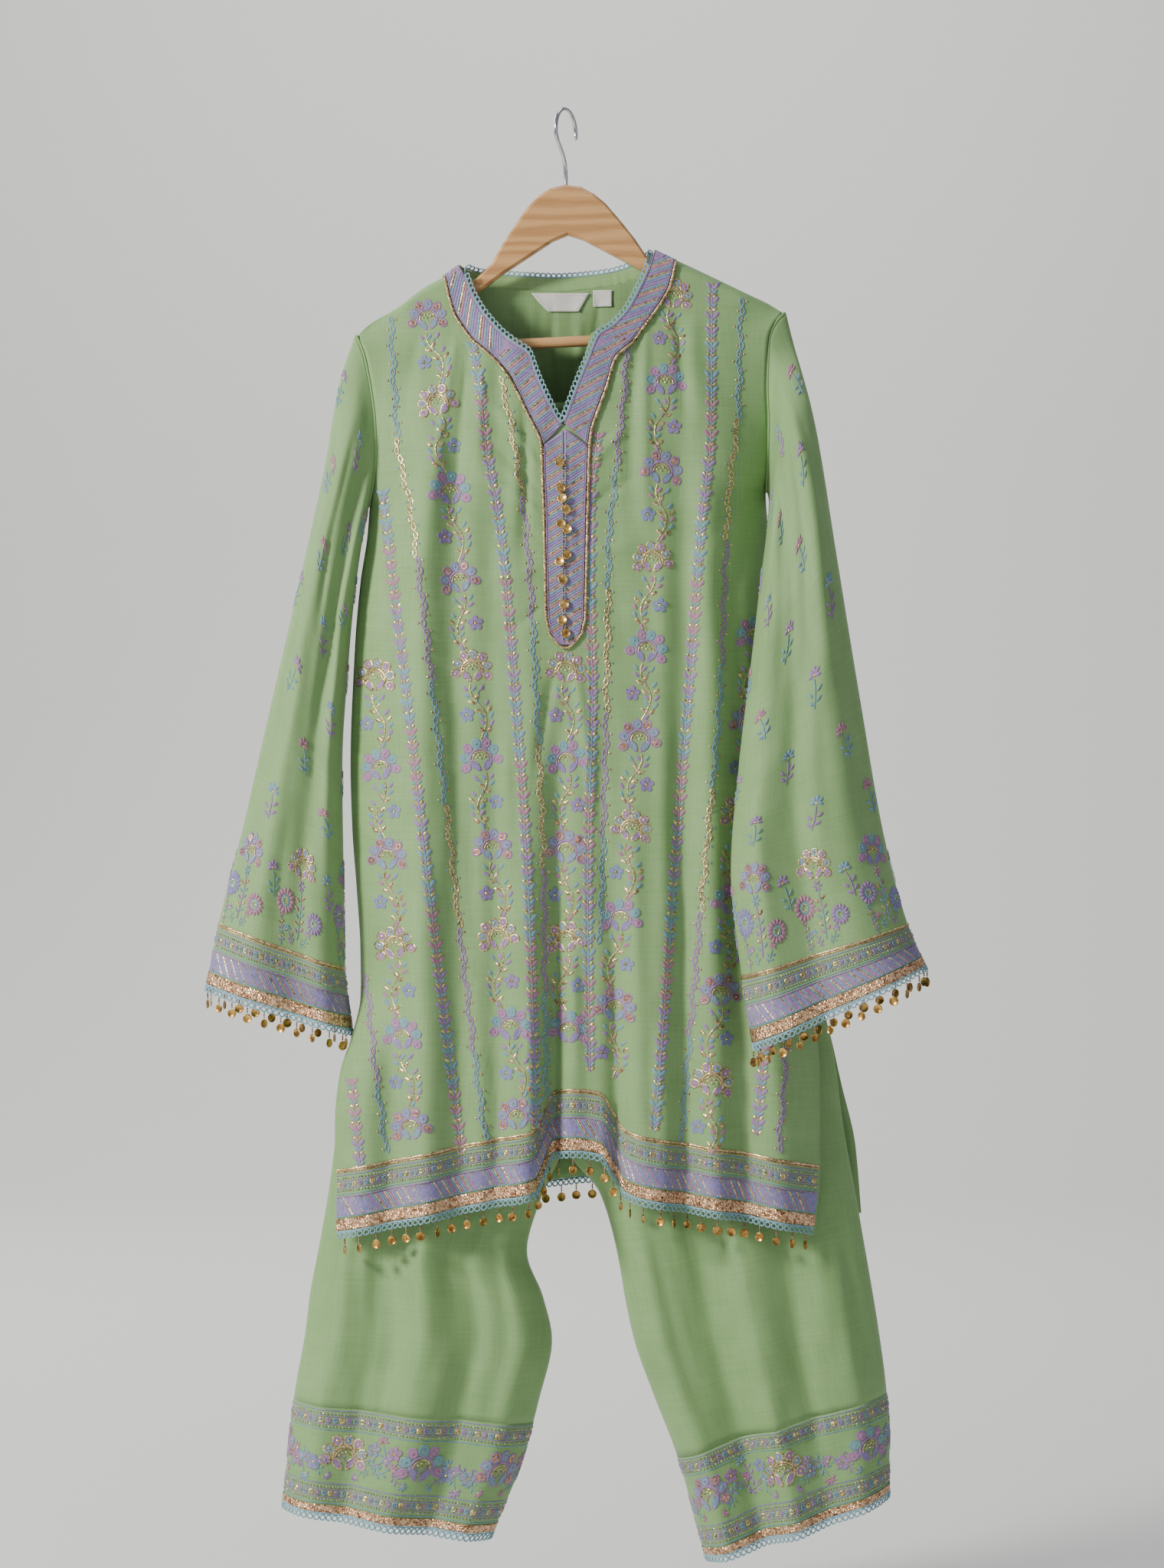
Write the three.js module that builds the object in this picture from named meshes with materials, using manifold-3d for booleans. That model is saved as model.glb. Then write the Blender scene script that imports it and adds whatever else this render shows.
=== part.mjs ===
// Farshi salwar suit on a wooden hanger: a long kurta with bell sleeves over a wide salwar.
// Millimetres. The origin is the inside top of the hook, where it rests on a rail.
// +X runs to the right of someone who looks at the front, +Y away from them, +Z up.

import * as THREE from 'three';
import { mergeVertices } from 'three/addons/utils/BufferGeometryUtils.js';
import Module from 'manifold-3d';

const wasm = await Module();
wasm.setup();

// ---------------------------------------------------------------- driving sizes
const CLOTH = 1.2; // wall of the kurta and the salwar
const TRIM = 1.0; // wall of ribbons and bands
const LACE = 1.3; // wall of the picot lace, with the coins' stems fused into it
const SEAM = 0.35; // gap between two pieces that are sewn edge to edge
const RISE = 1.35; // from the middle of a panel to the middle of a trim that lies on it
const FOLDED_RISE = 2.2; // the same where the panel folds sharply
const ARMHOLE_GAP = 2.1; // between the middles of a panel's edge and of the sleeve sewn to it

const RIBBON_WIDTH = 11; // crinkled metal ribbon at hem and cuffs
const LACE_WIDTH = 8; // picot lace below that ribbon
const NECK_LACE_WIDTH = 5;
const ANKLE_RIBBON = 7;
const ANKLE_LACE = 7;
const DROP_PITCH = 15.5; // from one hanging coin to the next
const STEM_LENGTH = 8;
const STEM_WIDTH = 1.8;
const COIN_RADIUS = 4.3;
const COIN_THICK = 0.7;

const HANGER_TILT = THREE.MathUtils.degToRad(2.8); // its right end is higher
const PIVOT = -75; // height of the point, on the hook's stem, that the hanger is tilted about
const ARM_THICK = 11;
const ARM_BEVEL = 2.2;
const BAR_RADIUS = 5;
const BAR_HEIGHT = -211; // height of the trouser bar's axis in the middle
const BAR_HALF = 160;
const WIRE = 1.75; // radius of the hook's wire
const HOOK_RADIUS = 20; // from the hook's centre to the middle of its wire
const HOOK_TURN = THREE.MathUtils.degToRad(27); // the hook's plane is turned off the rail's normal

const WAIST_TOP = -268;
const WAIST_BOTTOM = -299.6;
const LOOP_PLACE = 105; // hanging loops, from the middle of the waistband
const LOOP_WIDTH = 9;

// ---------------------------------------------------------------- tables
// A table is a list of rows with named columns.
function table(names, ...rows) {
  const columns = names.split(' ');
  return rows.map((row) => Object.fromEntries(columns.map((name, i) => [name, row[i]])));
}

// Reads one column of a table at a place on another column, as a smooth curve that never
// swings past its rows; beyond the ends it goes on in a straight line.
function read(rows, by, at, column) {
  const falling = rows[rows.length - 1][by] < rows[0][by];
  const place = (row) => (falling ? -row[by] : row[by]);
  const x = falling ? -at : at;
  let i = 0;
  while (i < rows.length - 2 && x > place(rows[i + 1])) i += 1;
  const slope = (k) => {
    const from = rows[Math.max(k, 0)];
    const to = rows[Math.min(k + 1, rows.length - 1)];
    return from === to ? null : (to[column] - from[column]) / (place(to) - place(from));
  };
  const tangent = (k) => {
    const before = k > 0 ? slope(k - 1) : slope(0);
    const after = k < rows.length - 1 ? slope(k) : slope(rows.length - 2);
    return before * after <= 0 ? 0 : (2 * before * after) / (before + after);
  };
  const span = place(rows[i + 1]) - place(rows[i]);
  const s = (x - place(rows[i])) / span;
  if (s < 0) return rows[i][column] + slope(i) * s * span;
  if (s > 1) return rows[i + 1][column] + slope(i) * (s - 1) * span;
  const a = rows[i][column];
  const b = rows[i + 1][column];
  const ta = tangent(i) * span;
  const tb = tangent(i + 1) * span;
  const s2 = s * s;
  const s3 = s2 * s;
  return a * (2 * s3 - 3 * s2 + 1) + ta * (s3 - 2 * s2 + s) + b * (3 * s2 - 2 * s3) + tb * (s3 - s2);
}

const clamp01 = (t) => Math.min(Math.max(t, 0), 1);
const ease = (t) => clamp01(t) * clamp01(t) * (3 - 2 * clamp01(t));
const mix = (a, b, t) => a + (b - a) * t;

// ---------------------------------------------------------------- the kurta's cut
// Side edges of the front: the armhole down to the underarm, then the side seam, then the slit.
const FRONT_LEFT = table('z x',
  [-205.7, -190], [-221, -183.5], [-238, -179.3], [-263, -175], [-287, -172.3], [-313, -171.6],
  [-340, -174.4], [-361, -178.8], [-389, -181.1], [-431, -187.4], [-487, -192.3], [-598, -196.5],
  [-654, -195], [-710, -191], [-766, -187.5], [-808, -187], [-843, -193.7], [-878, -204.5],
  [-920, -208.5], [-1020, -208]);
const FRONT_RIGHT = table('z x',
  [-185, 198.3], [-194, 190.5], [-208, 184.5], [-226, 183], [-252, 182.2], [-288, 183.6],
  [-319, 182.9], [-348, 182.2], [-389, 185], [-460, 189.4], [-599, 198.5], [-737, 212.3],
  [-821, 224], [-876, 230], [-961, 230], [-1020, 225]);
const BACK_LEFT = table('z x',
  [-205.7, -190], [-221, -183.5], [-238, -179.3], [-263, -175], [-287, -172.3], [-313, -171.6],
  [-340, -174.4], [-361, -178.8], [-389, -181.1], [-431, -187.4], [-487, -192.3], [-598, -196.5],
  [-654, -195], [-710, -191], [-766, -187.5], [-808, -187], [-860, -190], [-920, -198],
  [-1012, -206]);
const BACK_RIGHT = table('z x',
  [-185, 198.3], [-194, 190.5], [-208, 184.5], [-226, 183], [-252, 182.2], [-288, 183.6],
  [-319, 182.9], [-348, 182.2], [-389, 185], [-460, 189.4], [-599, 198.5], [-737, 212.3],
  [-804, 225], [-829, 238], [-896, 255], [-947, 267], [-1012, 273]);

// The shoulder line, carried on over the neck, which the cloth's depth is measured from.
const SHOULDER = table('x z',
  [-190, -205.7], [-183.6, -199], [-175, -192.6], [-163, -186], [-151, -178.5], [-140, -169.5],
  [-127, -160.5], [-114, -153.5], [-97, -142], [-60, -118], [0, -100], [50, -112], [80, -128],
  [102, -137.5], [132, -151.5], [161, -165.5], [190, -179.5], [198.3, -185]);
// The neck opening in front, from one neck point down to the V and up again.
const NECKLINE = table('x z',
  [-103, -146.3], [-98, -153], [-91, -170], [-77, -190], [-59.5, -206], [-45.5, -217.5],
  [-33.8, -224.5], [-27.6, -244.3], [-18.6, -266.5], [-9.6, -283], [-2, -292], [2.6, -279],
  [9.8, -257.5], [20.2, -233], [26.5, -215.5], [30.8, -206.5], [43, -200.5], [57, -188],
  [70, -168.7], [80, -149.3], [87, -130.8]);
// The seam of the standing band on the back panel.
const BACK_NECK = table('x z',
  [-109, -150.6], [-104, -153.5], [-90, -157.5], [-60, -160.5], [-5, -163], [45, -157.5], [78, -146.8],
  [93, -143], [100, -142.6]);
// Lower edges of the front and the back, where the metal ribbon ends.
const FRONT_HEM = table('x z',
  [-208, -1019.5], [-164, -1010.5], [-116, -1000], [-68, -990], [-30, -981], [-22, -964],
  [-14, -948.5], [4, -945], [28, -948], [40, -966], [52, -982], [87, -990.5], [147, -1000],
  [225, -1015.5]);
const BACK_HEM = table('x z',
  [-206, -1006], [-120, -996], [-40, -984], [20, -978], [80, -984], [160, -996], [273, -1012]);

// How far the cloth stands off the middle plane, down the body.
const DEPTH = table('z front back',
  [-150, 30, 26], [-300, 40, 33], [-450, 46, 37], [-600, 50, 39], [-800, 55, 42], [-1020, 58, 44]);
// Half the opening left at the side edges: the armhole, the closed side seam, then the slit.
const EDGE_LEFT = table('z depth',
  [-205.7, 1], [-216, 9], [-240, 13], [-283, 14], [-325, 12], [-349, 8], [-361, 1], [-400, 1],
  [-790, 1], [-830, 14], [-880, 30], [-1020, 40]);
const EDGE_RIGHT = table('z depth',
  [-185, 1], [-196, 9], [-222, 13], [-267, 14], [-310, 12], [-336, 8], [-348, 1], [-400, 1],
  [-770, 1], [-812, 14], [-862, 28], [-1020, 38]);
const SIDE_TAPER = 58; // width over which a panel rounds towards its side edges
const OVER_HANGER = 4.5; // height over which the cloth rounds over the hanger's arms

// Folds: a soft ridge or trough along a line. start and end are its depth at each end, away
// from the viewer if positive; width is half its breadth.
const FRONT_FOLDS = table('x0 z0 x1 z1 width start end',
  [-3, -492, -15, -1030, 11, 0, 25], [40, -640, 50, -1010, 9, 0, 13], [14, -700, 20, -1030, 24, 0, 11],
  [-30, -420, -36, -1030, 13, -1, -9], [66, -560, 74, -1010, 14, -1, -9],
  [-104, -250, -92, -1030, 15, 5, 8], [-150, -260, -160, -1030, 14, 4, 9],
  [-128, -250, -124, -1030, 14, -4, -8], [-70, -330, -62, -1030, 12, 3, 7],
  [106, -260, 106, -1030, 14, 4, 8], [146, -330, 164, -1030, 15, 6, 10],
  [126, -300, 136, -1030, 13, -4, -8], [88, -330, 90, -1030, 11, -2, -6],
  [-176, -640, -190, -1030, 12, 0, -6], [186, -640, 200, -1030, 14, 0, -7]);
const BACK_FOLDS = table('x0 z0 x1 z1 width start end',
  [-6, -190, -8, -1030, 20, -5, -11], [-52, -200, -58, -1030, 17, 3, 8], [40, -200, 48, -1030, 17, 3, 8],
  [-100, -280, -108, -1030, 18, -4, -9], [92, -280, 104, -1030, 18, -4, -9],
  [-146, -340, -156, -1030, 16, 3, 7], [138, -340, 156, -1030, 16, 3, 7],
  [186, -640, 214, -1030, 18, 0, -8]);

function foldDepth(folds, x, z) {
  let sum = 0;
  for (const fold of folds) {
    const along = (fold.z0 - z) / (fold.z0 - fold.z1);
    const middle = mix(fold.x0, fold.x1, along);
    const across = (x - middle) / fold.width;
    sum += mix(fold.start, fold.end, clamp01(along)) * ease(along / 0.12) * Math.exp(-across * across);
  }
  return sum;
}

// Distance of the front (side -1) or the back (side +1) from the middle plane at x, z.
function bodyDepth(side, x, z) {
  const front = side < 0;
  const left = read(front ? FRONT_LEFT : BACK_LEFT, 'z', z, 'x');
  const right = read(front ? FRONT_RIGHT : BACK_RIGHT, 'z', z, 'x');
  const toLeft = x - left;
  const toRight = right - x;
  const edge = toLeft < toRight ? read(EDGE_LEFT, 'z', z, 'depth') : read(EDGE_RIGHT, 'z', z, 'depth');
  const inward = Math.sin((Math.PI / 2) * clamp01(Math.min(toLeft, toRight) / SIDE_TAPER));
  const below = read(SHOULDER, 'x', x, 'z') - z;
  const full = mix(9.2, read(DEPTH, 'z', z, front ? 'front' : 'back'), ease((below + 10) / 190));
  const folds = foldDepth(front ? FRONT_FOLDS : BACK_FOLDS, x, z) * ease((below - 20) / 120);
  const flat = mix(edge, full + side * folds, inward);
  return Math.max(flat * Math.sqrt(clamp01(below / OVER_HANGER)), 0.3 + 0.7 * (1 - inward));
}

const onBody = (side, x, z) => new THREE.Vector3(x, side * bodyDepth(side, x, z), z);

// The direction out of the front or back panel.
function bodyNormal(side, x, z) {
  const step = 1.5;
  const across = onBody(side, x + step, z).sub(onBody(side, x - step, z));
  const down = onBody(side, x, z - step).sub(onBody(side, x, z + step));
  return across.cross(down).normalize().multiplyScalar(side);
}

const offBody = (side, x, z, out) => onBody(side, x, z).addScaledVector(bodyNormal(side, x, z), out);

// ---------------------------------------------------------------- walls
// A closed wall of even thickness round a grid of middle points, rows by columns.
// If round is true, the last column joins the first.
function wall(points, thick, round = false) {
  const rows = points.length;
  const columns = points[0].length;
  const at = (i, j) => {
    const column = round ? (j + columns) % columns : Math.min(Math.max(j, 0), columns - 1);
    return points[Math.min(Math.max(i, 0), rows - 1)][column];
  };
  const positions = [];
  for (const half of [thick / 2, -thick / 2]) {
    for (let i = 0; i < rows; i += 1) {
      for (let j = 0; j < columns; j += 1) {
        const across = at(i, j + 1).clone().sub(at(i, j - 1));
        const down = at(i + 1, j).clone().sub(at(i - 1, j));
        positions.push(...at(i, j).clone().addScaledVector(across.cross(down).normalize(), half));
      }
    }
  }
  const outer = (i, j) => i * columns + (j % columns);
  const inner = (i, j) => rows * columns + outer(i, j);
  const faces = [];
  const rim = (i, j, k, l) => {
    faces.push(outer(k, l), outer(i, j), inner(i, j), outer(k, l), inner(i, j), inner(k, l));
  };
  const across = round ? columns : columns - 1;
  for (let i = 0; i < rows - 1; i += 1) {
    for (let j = 0; j < across; j += 1) {
      faces.push(outer(i, j), outer(i, j + 1), outer(i + 1, j + 1));
      faces.push(outer(i, j), outer(i + 1, j + 1), outer(i + 1, j));
      faces.push(inner(i, j), inner(i + 1, j + 1), inner(i, j + 1));
      faces.push(inner(i, j), inner(i + 1, j), inner(i + 1, j + 1));
    }
  }
  for (let j = 0; j < across; j += 1) {
    rim(0, j, 0, j + 1);
    rim(rows - 1, j + 1, rows - 1, j);
  }
  if (!round) {
    for (let i = 0; i < rows - 1; i += 1) {
      rim(i, columns - 1, i + 1, columns - 1);
      rim(i + 1, 0, i, 0);
    }
  }
  const geometry = new THREE.BufferGeometry();
  geometry.setAttribute('position', new THREE.Float32BufferAttribute(positions, 3));
  geometry.setIndex(faces);
  return geometry;
}

// Evenly spread numbers from a to b.
const spread = (a, b, count) => Array.from({ length: count + 1 }, (_, i) => mix(a, b, i / count));

// ---------------------------------------------------------------- joins and cuts
function toSolid(geometry) {
  const bare = geometry.clone();
  bare.deleteAttribute('normal');
  bare.deleteAttribute('uv');
  const merged = mergeVertices(bare, 1e-4);
  return new wasm.Manifold(new wasm.Mesh({
    numProp: 3,
    vertProperties: new Float32Array(merged.attributes.position.array),
    triVerts: new Uint32Array(merged.index.array),
  }));
}

function toGeometry(solid) {
  const mesh = solid.getMesh();
  const geometry = new THREE.BufferGeometry();
  geometry.setAttribute('position', new THREE.Float32BufferAttribute(mesh.vertProperties, 3));
  geometry.setIndex(Array.from(mesh.triVerts));
  return geometry;
}

const join = (geometries) => toGeometry(geometries.map(toSolid).reduce((all, one) => all.add(one)));

// ---------------------------------------------------------------- materials and the part
const part = new THREE.Group();

const paint = (color, roughness, metalness = 0) => new THREE.MeshStandardMaterial({
  color, roughness, metalness,
});
const MATERIALS = {
  cloth: paint(0x9db58a, 0.7),
  band: paint(0xb3a3c4, 0.75),
  lace: paint(0x9cc3cc, 0.8),
  ribbon: paint(0xc9a27a, 0.35, 0.7),
  coin: paint(0xb08a3c, 0.35, 0.9),
  label: paint(0xe9e6dc, 0.8),
  wood: paint(0xc99a63, 0.5),
  wire: paint(0xb8bcc0, 0.2, 1),
};

function addMesh(name, geometry, material, parent = part) {
  geometry.computeVertexNormals();
  const mesh = new THREE.Mesh(geometry, MATERIALS[material]);
  mesh.name = name;
  parent.add(mesh);
  return mesh;
}

// ---------------------------------------------------------------- front and back panels
const PANEL_COLUMNS = [-190, -176, -160, -144, -128, -114, -103, -97, -82, -62, -46, -34, -27, -18.6, -10,
  -2, 5, 12, 20.2, 27, 31, 45, 59, 76, 87, 98, 113, 130, 148, 166, 184, 198.3];
const BACK_COLUMNS = [-190, -172, -150, -128, -109, -88, -64, -38, -12, 12, 36, 58, 80, 100, 125, 150,
  174, 198.3];
const PANEL_WIDTH = PANEL_COLUMNS[PANEL_COLUMNS.length - 1] - PANEL_COLUMNS[0];
const TOP_DROPS = [0, 1.5, 6, 22]; // rows that round over the shoulder, below the top edge
const FRONT_ROWS = 13;
const BACK_ROWS = 11;

// Top edge of a panel at a column, named by its place on the shoulder.
function panelTop(side, x) {
  if (side < 0 && x > -103 && x < 87) return read(NECKLINE, 'x', x, 'z');
  if (side > 0 && x >= -109 && x <= 100) return read(BACK_NECK, 'x', x, 'z');
  return read(SHOULDER, 'x', x, 'z');
}

// The place on the panel of a column at a height: columns fan out with the side edges.
function columnPlace(side, column, z) {
  const share = (column - PANEL_COLUMNS[0]) / PANEL_WIDTH;
  const left = z > -205.7 ? -190 : read(side < 0 ? FRONT_LEFT : BACK_LEFT, 'z', z, 'x');
  const right = z > -185 ? 198.3 : read(side < 0 ? FRONT_RIGHT : BACK_RIGHT, 'z', z, 'x');
  return mix(left, right, share);
}

// The hem's height under a column.
function columnHem(side, column) {
  const share = (column - PANEL_COLUMNS[0]) / PANEL_WIDTH;
  const rows = side < 0 ? FRONT_HEM : BACK_HEM;
  return read(rows, 'x', mix(rows[0].x, rows[rows.length - 1].x, share), 'z');
}

// Heights of a panel's rows at one column; the last row band is as high as the metal ribbon.
function columnHeights(side, column, rows) {
  const top = panelTop(side, column);
  const ribbonTop = columnHem(side, column) + RIBBON_WIDTH + 1;
  const drops = TOP_DROPS.map((drop) => top - drop);
  const lower = spread(drops[drops.length - 1], ribbonTop, rows).slice(1);
  return [...drops, ...lower, columnHem(side, column)];
}

function panel(side, columns, rows) {
  const heights = columns.map((column) => columnHeights(side, column, rows));
  const points = heights[0].map((_, i) => columns.map((column, j) => {
    const z = heights[j][i];
    return onBody(side, columnPlace(side, column, z), z);
  }));
  return wall(points, CLOTH);
}

// A strip along the hem, from one height above the hem to another, off the panel's surface.
function hemStrip(side, columns, from, to, out, thick = TRIM) {
  const points = spread(from, to, 1).map((above) => columns.map((column) => {
    const z = columnHem(side, column) + above;
    return offBody(side, columnPlace(side, column, z), z, out);
  }));
  return wall(points, thick);
}

// ---------------------------------------------------------------- coin drops
// A stem with a flat coin at its end, hung from a point of the lace and turned about its stem.
function coinDrop(point, turn) {
  const half = STEM_WIDTH / 2;
  const wide = COIN_RADIUS;
  const coinTop = -STEM_LENGTH;
  const corners = [[-half, 2], [-half, coinTop], [-wide, coinTop - 0.9 * wide],
    [-0.5 * wide, coinTop - 1.8 * wide], [0.5 * wide, coinTop - 1.8 * wide],
    [wide, coinTop - 0.9 * wide], [half, coinTop], [half, 2]];
  const outline = new THREE.Shape(corners.map(([x, z]) => new THREE.Vector2(x, z)));
  const geometry = new THREE.ExtrudeGeometry(outline, { depth: COIN_THICK, bevelEnabled: false });
  geometry.translate(0, 0, -COIN_THICK / 2);
  geometry.rotateX(Math.PI / 2);
  geometry.rotateZ(turn);
  geometry.translate(point.x, point.y, point.z);
  return geometry;
}

// Places along a line of points, one pitch apart, centred on the line, with the line's heading.
function pitched(points, pitch, round = false) {
  const line = round ? [...points, points[0]] : points;
  const lengths = [0];
  for (let i = 1; i < line.length; i += 1) lengths.push(lengths[i - 1] + line[i].distanceTo(line[i - 1]));
  const total = lengths[lengths.length - 1];
  const count = Math.floor(total / pitch);
  return spread(0, count - 1, count - 1).map((k) => {
    const at = (total - pitch * (count - 1)) / 2 + k * pitch;
    let i = 1;
    while (i < lengths.length - 1 && lengths[i] < at) i += 1;
    const heading = line[i].clone().sub(line[i - 1]);
    const point = line[i - 1].clone().lerp(line[i], (at - lengths[i - 1]) / (lengths[i] - lengths[i - 1]));
    return { point, turn: Math.atan2(heading.y, heading.x) };
  });
}

// Lace with its coins: the strip and the drops along its lower line of points.
function laceWithDrops(strip, line, round = false) {
  const drops = pitched(line, DROP_PITCH, round).map(({ point, turn }) => coinDrop(point, turn));
  return join([strip, ...drops]);
}

function hemLace(side, columns, lift) {
  const line = columns.map((column) => {
    const z = columnHem(side, column) - LACE_WIDTH + 1;
    return offBody(side, columnPlace(side, column, z), z, lift);
  });
  return laceWithDrops(hemStrip(side, columns, -SEAM - 0.15, -LACE_WIDTH, lift, LACE), line);
}

// ---------------------------------------------------------------- sleeves and legs
// Both are tubes through tilted sections. A row gives the outer and inner end of a section,
// the depth of its front and back, and how far its middle is shifted from the middle plane.
const SLEEVE_LEFT = table('t ox oz ix iz front back shift',
  [0, -190.4, -205.7, -179.2, -361.3, 14, 14, 0], [0.1, -204, -247, -184.5, -392, 22, 18, -2],
  [0.2, -217, -322, -191, -440, 26, 22, -3], [0.35, -236, -410, -196.5, -500, 27, 24, -3],
  [0.55, -266, -540, -202.5, -600, 28, 26, -3], [0.75, -294, -662, -201.5, -690, 30, 29, -2],
  [0.9, -314, -741, -200, -782, 33, 33, -2], [1, -325, -797, -194, -838, 36, 36, -2]);
const SLEEVE_RIGHT = table('t ox oz ix iz front back shift',
  [0, 198.7, -185, 182.6, -348, 14, 14, 0], [0.04, 204, -207, 184, -358, 17, 14, -6],
  [0.1, 212, -240, 181, -386, 24, 14, -24],
  [0.2, 224, -298, 174, -434, 30, 16, -40], [0.35, 240, -405, 165, -505, 32, 18, -56],
  [0.55, 262, -545, 152.8, -605, 32, 20, -66], [0.75, 282, -662, 146, -695, 33, 22, -72],
  [0.9, 302, -739, 155, -785, 35, 24, -80], [1, 317, -776, 165, -845, 38, 26, -85]);
// A ridge down the sleeve: place across it (0 outer, 1 inner), breadth and height.
const SLEEVE_FOLDS_LEFT = table('place width start end', [0.3, 0.13, 5, 4], [0.62, 0.12, -6, -5],
  [0.85, 0.1, 3, 5]);
const SLEEVE_FOLDS_RIGHT = table('place width start end', [0.25, 0.14, 4, 5], [0.58, 0.12, -6, -8],
  [0.84, 0.1, 5, 6]);
const SLEEVE_COLUMNS = 20;
const SLEEVE_ROWS = [0, 0.04, 0.1, 0.18, 0.28, 0.4, 0.52, 0.64, 0.76, 0.87];
const SLEEVE_LENGTH = 560;

// A point of a sleeve at turn round it and t down it. The first section follows the armhole.
function onSleeve(rows, folds, armhole, turn, t) {
  const get = (column) => read(rows, 't', t, column);
  const across = (1 - Math.cos(turn)) / 2;
  const chord = new THREE.Vector3(
    mix(get('ox'), get('ix'), across), 0, mix(get('oz'), get('iz'), across));
  const first = rows[0];
  const seamHeight = mix(first.oz, first.iz, across);
  const bow = read(armhole, 'z', seamHeight, 'x') - mix(armhole[0].x, first.ix, across);
  chord.x += bow * (1 - ease(t / 0.3)) + Math.sign(first.ox) * ARMHOLE_GAP;
  const side = Math.sin(turn);
  const half = side > 0 ? get('front') : get('back');
  const round = Math.sign(side) * Math.abs(side) ** 0.85;
  let depth = get('shift') * ease(across * 0.5 + t * 6) - half * round;
  for (const fold of folds) {
    const off = (across - fold.place) / fold.width;
    depth -= Math.sign(side) * mix(fold.start, fold.end, t) * ease(t * 8) * Math.exp(-off * off)
      * Math.min(1, 2 * Math.abs(side));
  }
  return chord.setY(depth);
}

// A ring of points round a tube.
const ring = (place, count, t) => spread(0, 1, count).slice(0, -1).map((s) => place(2 * Math.PI * s, t));

// A ring moved out of the tube by a distance.
function ringOut(place, count, t, out) {
  const step = 0.02;
  return spread(0, 1, count).slice(0, -1).map((s) => {
    const turn = 2 * Math.PI * s;
    const across = place(turn + step, t).sub(place(turn - step, t));
    const down = place(turn, t + step / 2).sub(place(turn, t - step / 2));
    const normal = across.cross(down).normalize();
    return place(turn, t).addScaledVector(normal, out);
  });
}

// A strip round a tube; the sign of out takes it to the outside of that tube.
const ringStrip = (place, count, from, to, out, thick = TRIM) => wall(
  [ringOut(place, count, from, out), ringOut(place, count, to, out)], thick, true);

function sleeve(name, rows, folds, armhole, out) {
  const place = (turn, t) => onSleeve(rows, folds, armhole, turn, t);
  const ribbonTop = 1 - (RIBBON_WIDTH + 1) / SLEEVE_LENGTH;
  const rings = [...SLEEVE_ROWS, ribbonTop, 1].map((t) => ring(place, SLEEVE_COLUMNS, t));
  addMesh(`sleeve_${name}`, wall(rings, CLOTH, true), 'cloth');
  addMesh(`cuff_ribbon_${name}`, ringStrip(place, SLEEVE_COLUMNS, ribbonTop, 1, out * RISE), 'ribbon');
  const laceTop = 1 + SEAM / SLEEVE_LENGTH;
  const laceEnd = 1 + LACE_WIDTH / SLEEVE_LENGTH;
  const lift = out * (RISE - 0.4);
  const strip = ringStrip(place, SLEEVE_COLUMNS, laceTop, laceEnd, lift, LACE);
  const line = ringOut(place, SLEEVE_COLUMNS, mix(laceTop, laceEnd, 0.85), lift);
  addMesh(`cuff_lace_${name}`, laceWithDrops(strip, line, true), 'lace');
}

// Salwar legs: closed is 0 where the two legs share the seat and 1 below the crotch.
const LEG_LEFT = table('t ox oz ix iz depth closed',
  [0, -150, -300, -0.25, -300, 14, 0], [0.1, -168, -420, -0.25, -420, 17, 0],
  [0.22, -176, -560, -0.25, -560, 19, 0], [0.34, -178, -690, -0.25, -690, 20, 0],
  [0.44, -182, -790, -0.25, -790, 20, 0], [0.52, -189, -870, -0.25, -870, 21, 0],
  [0.59, -209, -935, -0.6, -935, 23, 0.1], [0.65, -216, -985, -22, -990, 28, 0.95],
  [0.71, -226, -1042, -36, -1042, 34, 1], [0.77, -233, -1078, -21, -1085, 37, 1],
  [0.82, -238, -1118, -13, -1124, 39, 1], [0.88, -247, -1168, -25, -1178, 40, 1],
  [0.94, -253, -1218, -41, -1236, 41, 1], [1, -257.6, -1268.5, -66, -1296, 42, 1]);
const LEG_RIGHT = table('t ox oz ix iz depth closed',
  [0, 150, -300, 0.25, -300, 14, 0], [0.1, 170, -420, 0.25, -420, 17, 0],
  [0.22, 180, -560, 0.25, -560, 19, 0], [0.34, 192, -690, 0.25, -690, 20, 0],
  [0.44, 206, -790, 0.25, -790, 20, 0], [0.5, 240, -842, 0.25, -842, 21, 0],
  [0.59, 254, -934, 0.6, -940, 23, 0.1], [0.65, 264, -988, 32, -990, 28, 0.95],
  [0.71, 272, -1034, 47, -1042, 34, 1], [0.77, 280, -1080, 55, -1088, 38, 1],
  [0.82, 286, -1118, 63, -1124, 40, 1], [0.88, 292, -1164, 80, -1172, 41, 1],
  [0.94, 295.4, -1212, 101, -1226, 42, 1], [1, 294.7, -1259, 127, -1317, 44, 1]);
const LEG_FOLDS_LEFT = table('place width start end', [0.12, 0.07, 0, 6], [0.3, 0.08, 0, -8],
  [0.5, 0.08, 0, 6], [0.7, 0.07, 0, -8], [0.88, 0.06, 0, 5]);
const LEG_FOLDS_RIGHT = table('place width start end', [0.14, 0.07, 0, 6], [0.34, 0.08, 0, -7],
  [0.52, 0.06, 0, 5], [0.68, 0.09, 0, -16], [0.9, 0.07, 0, 8]);
const LEG_COLUMNS = 22;
const LEG_ROWS = [0, 0.16, 0.33, 0.43, 0.5, 0.56, 0.61, 0.65, 0.7, 0.76, 0.83];
const LEG_LENGTH = 990;
// How far down a leg its ankle band is sewn on, at the outer edge and at the inseam.
const ANKLE_SEAM_LEFT = [0.89, 0.9];
const ANKLE_SEAM_RIGHT = [0.888, 0.943];

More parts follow.
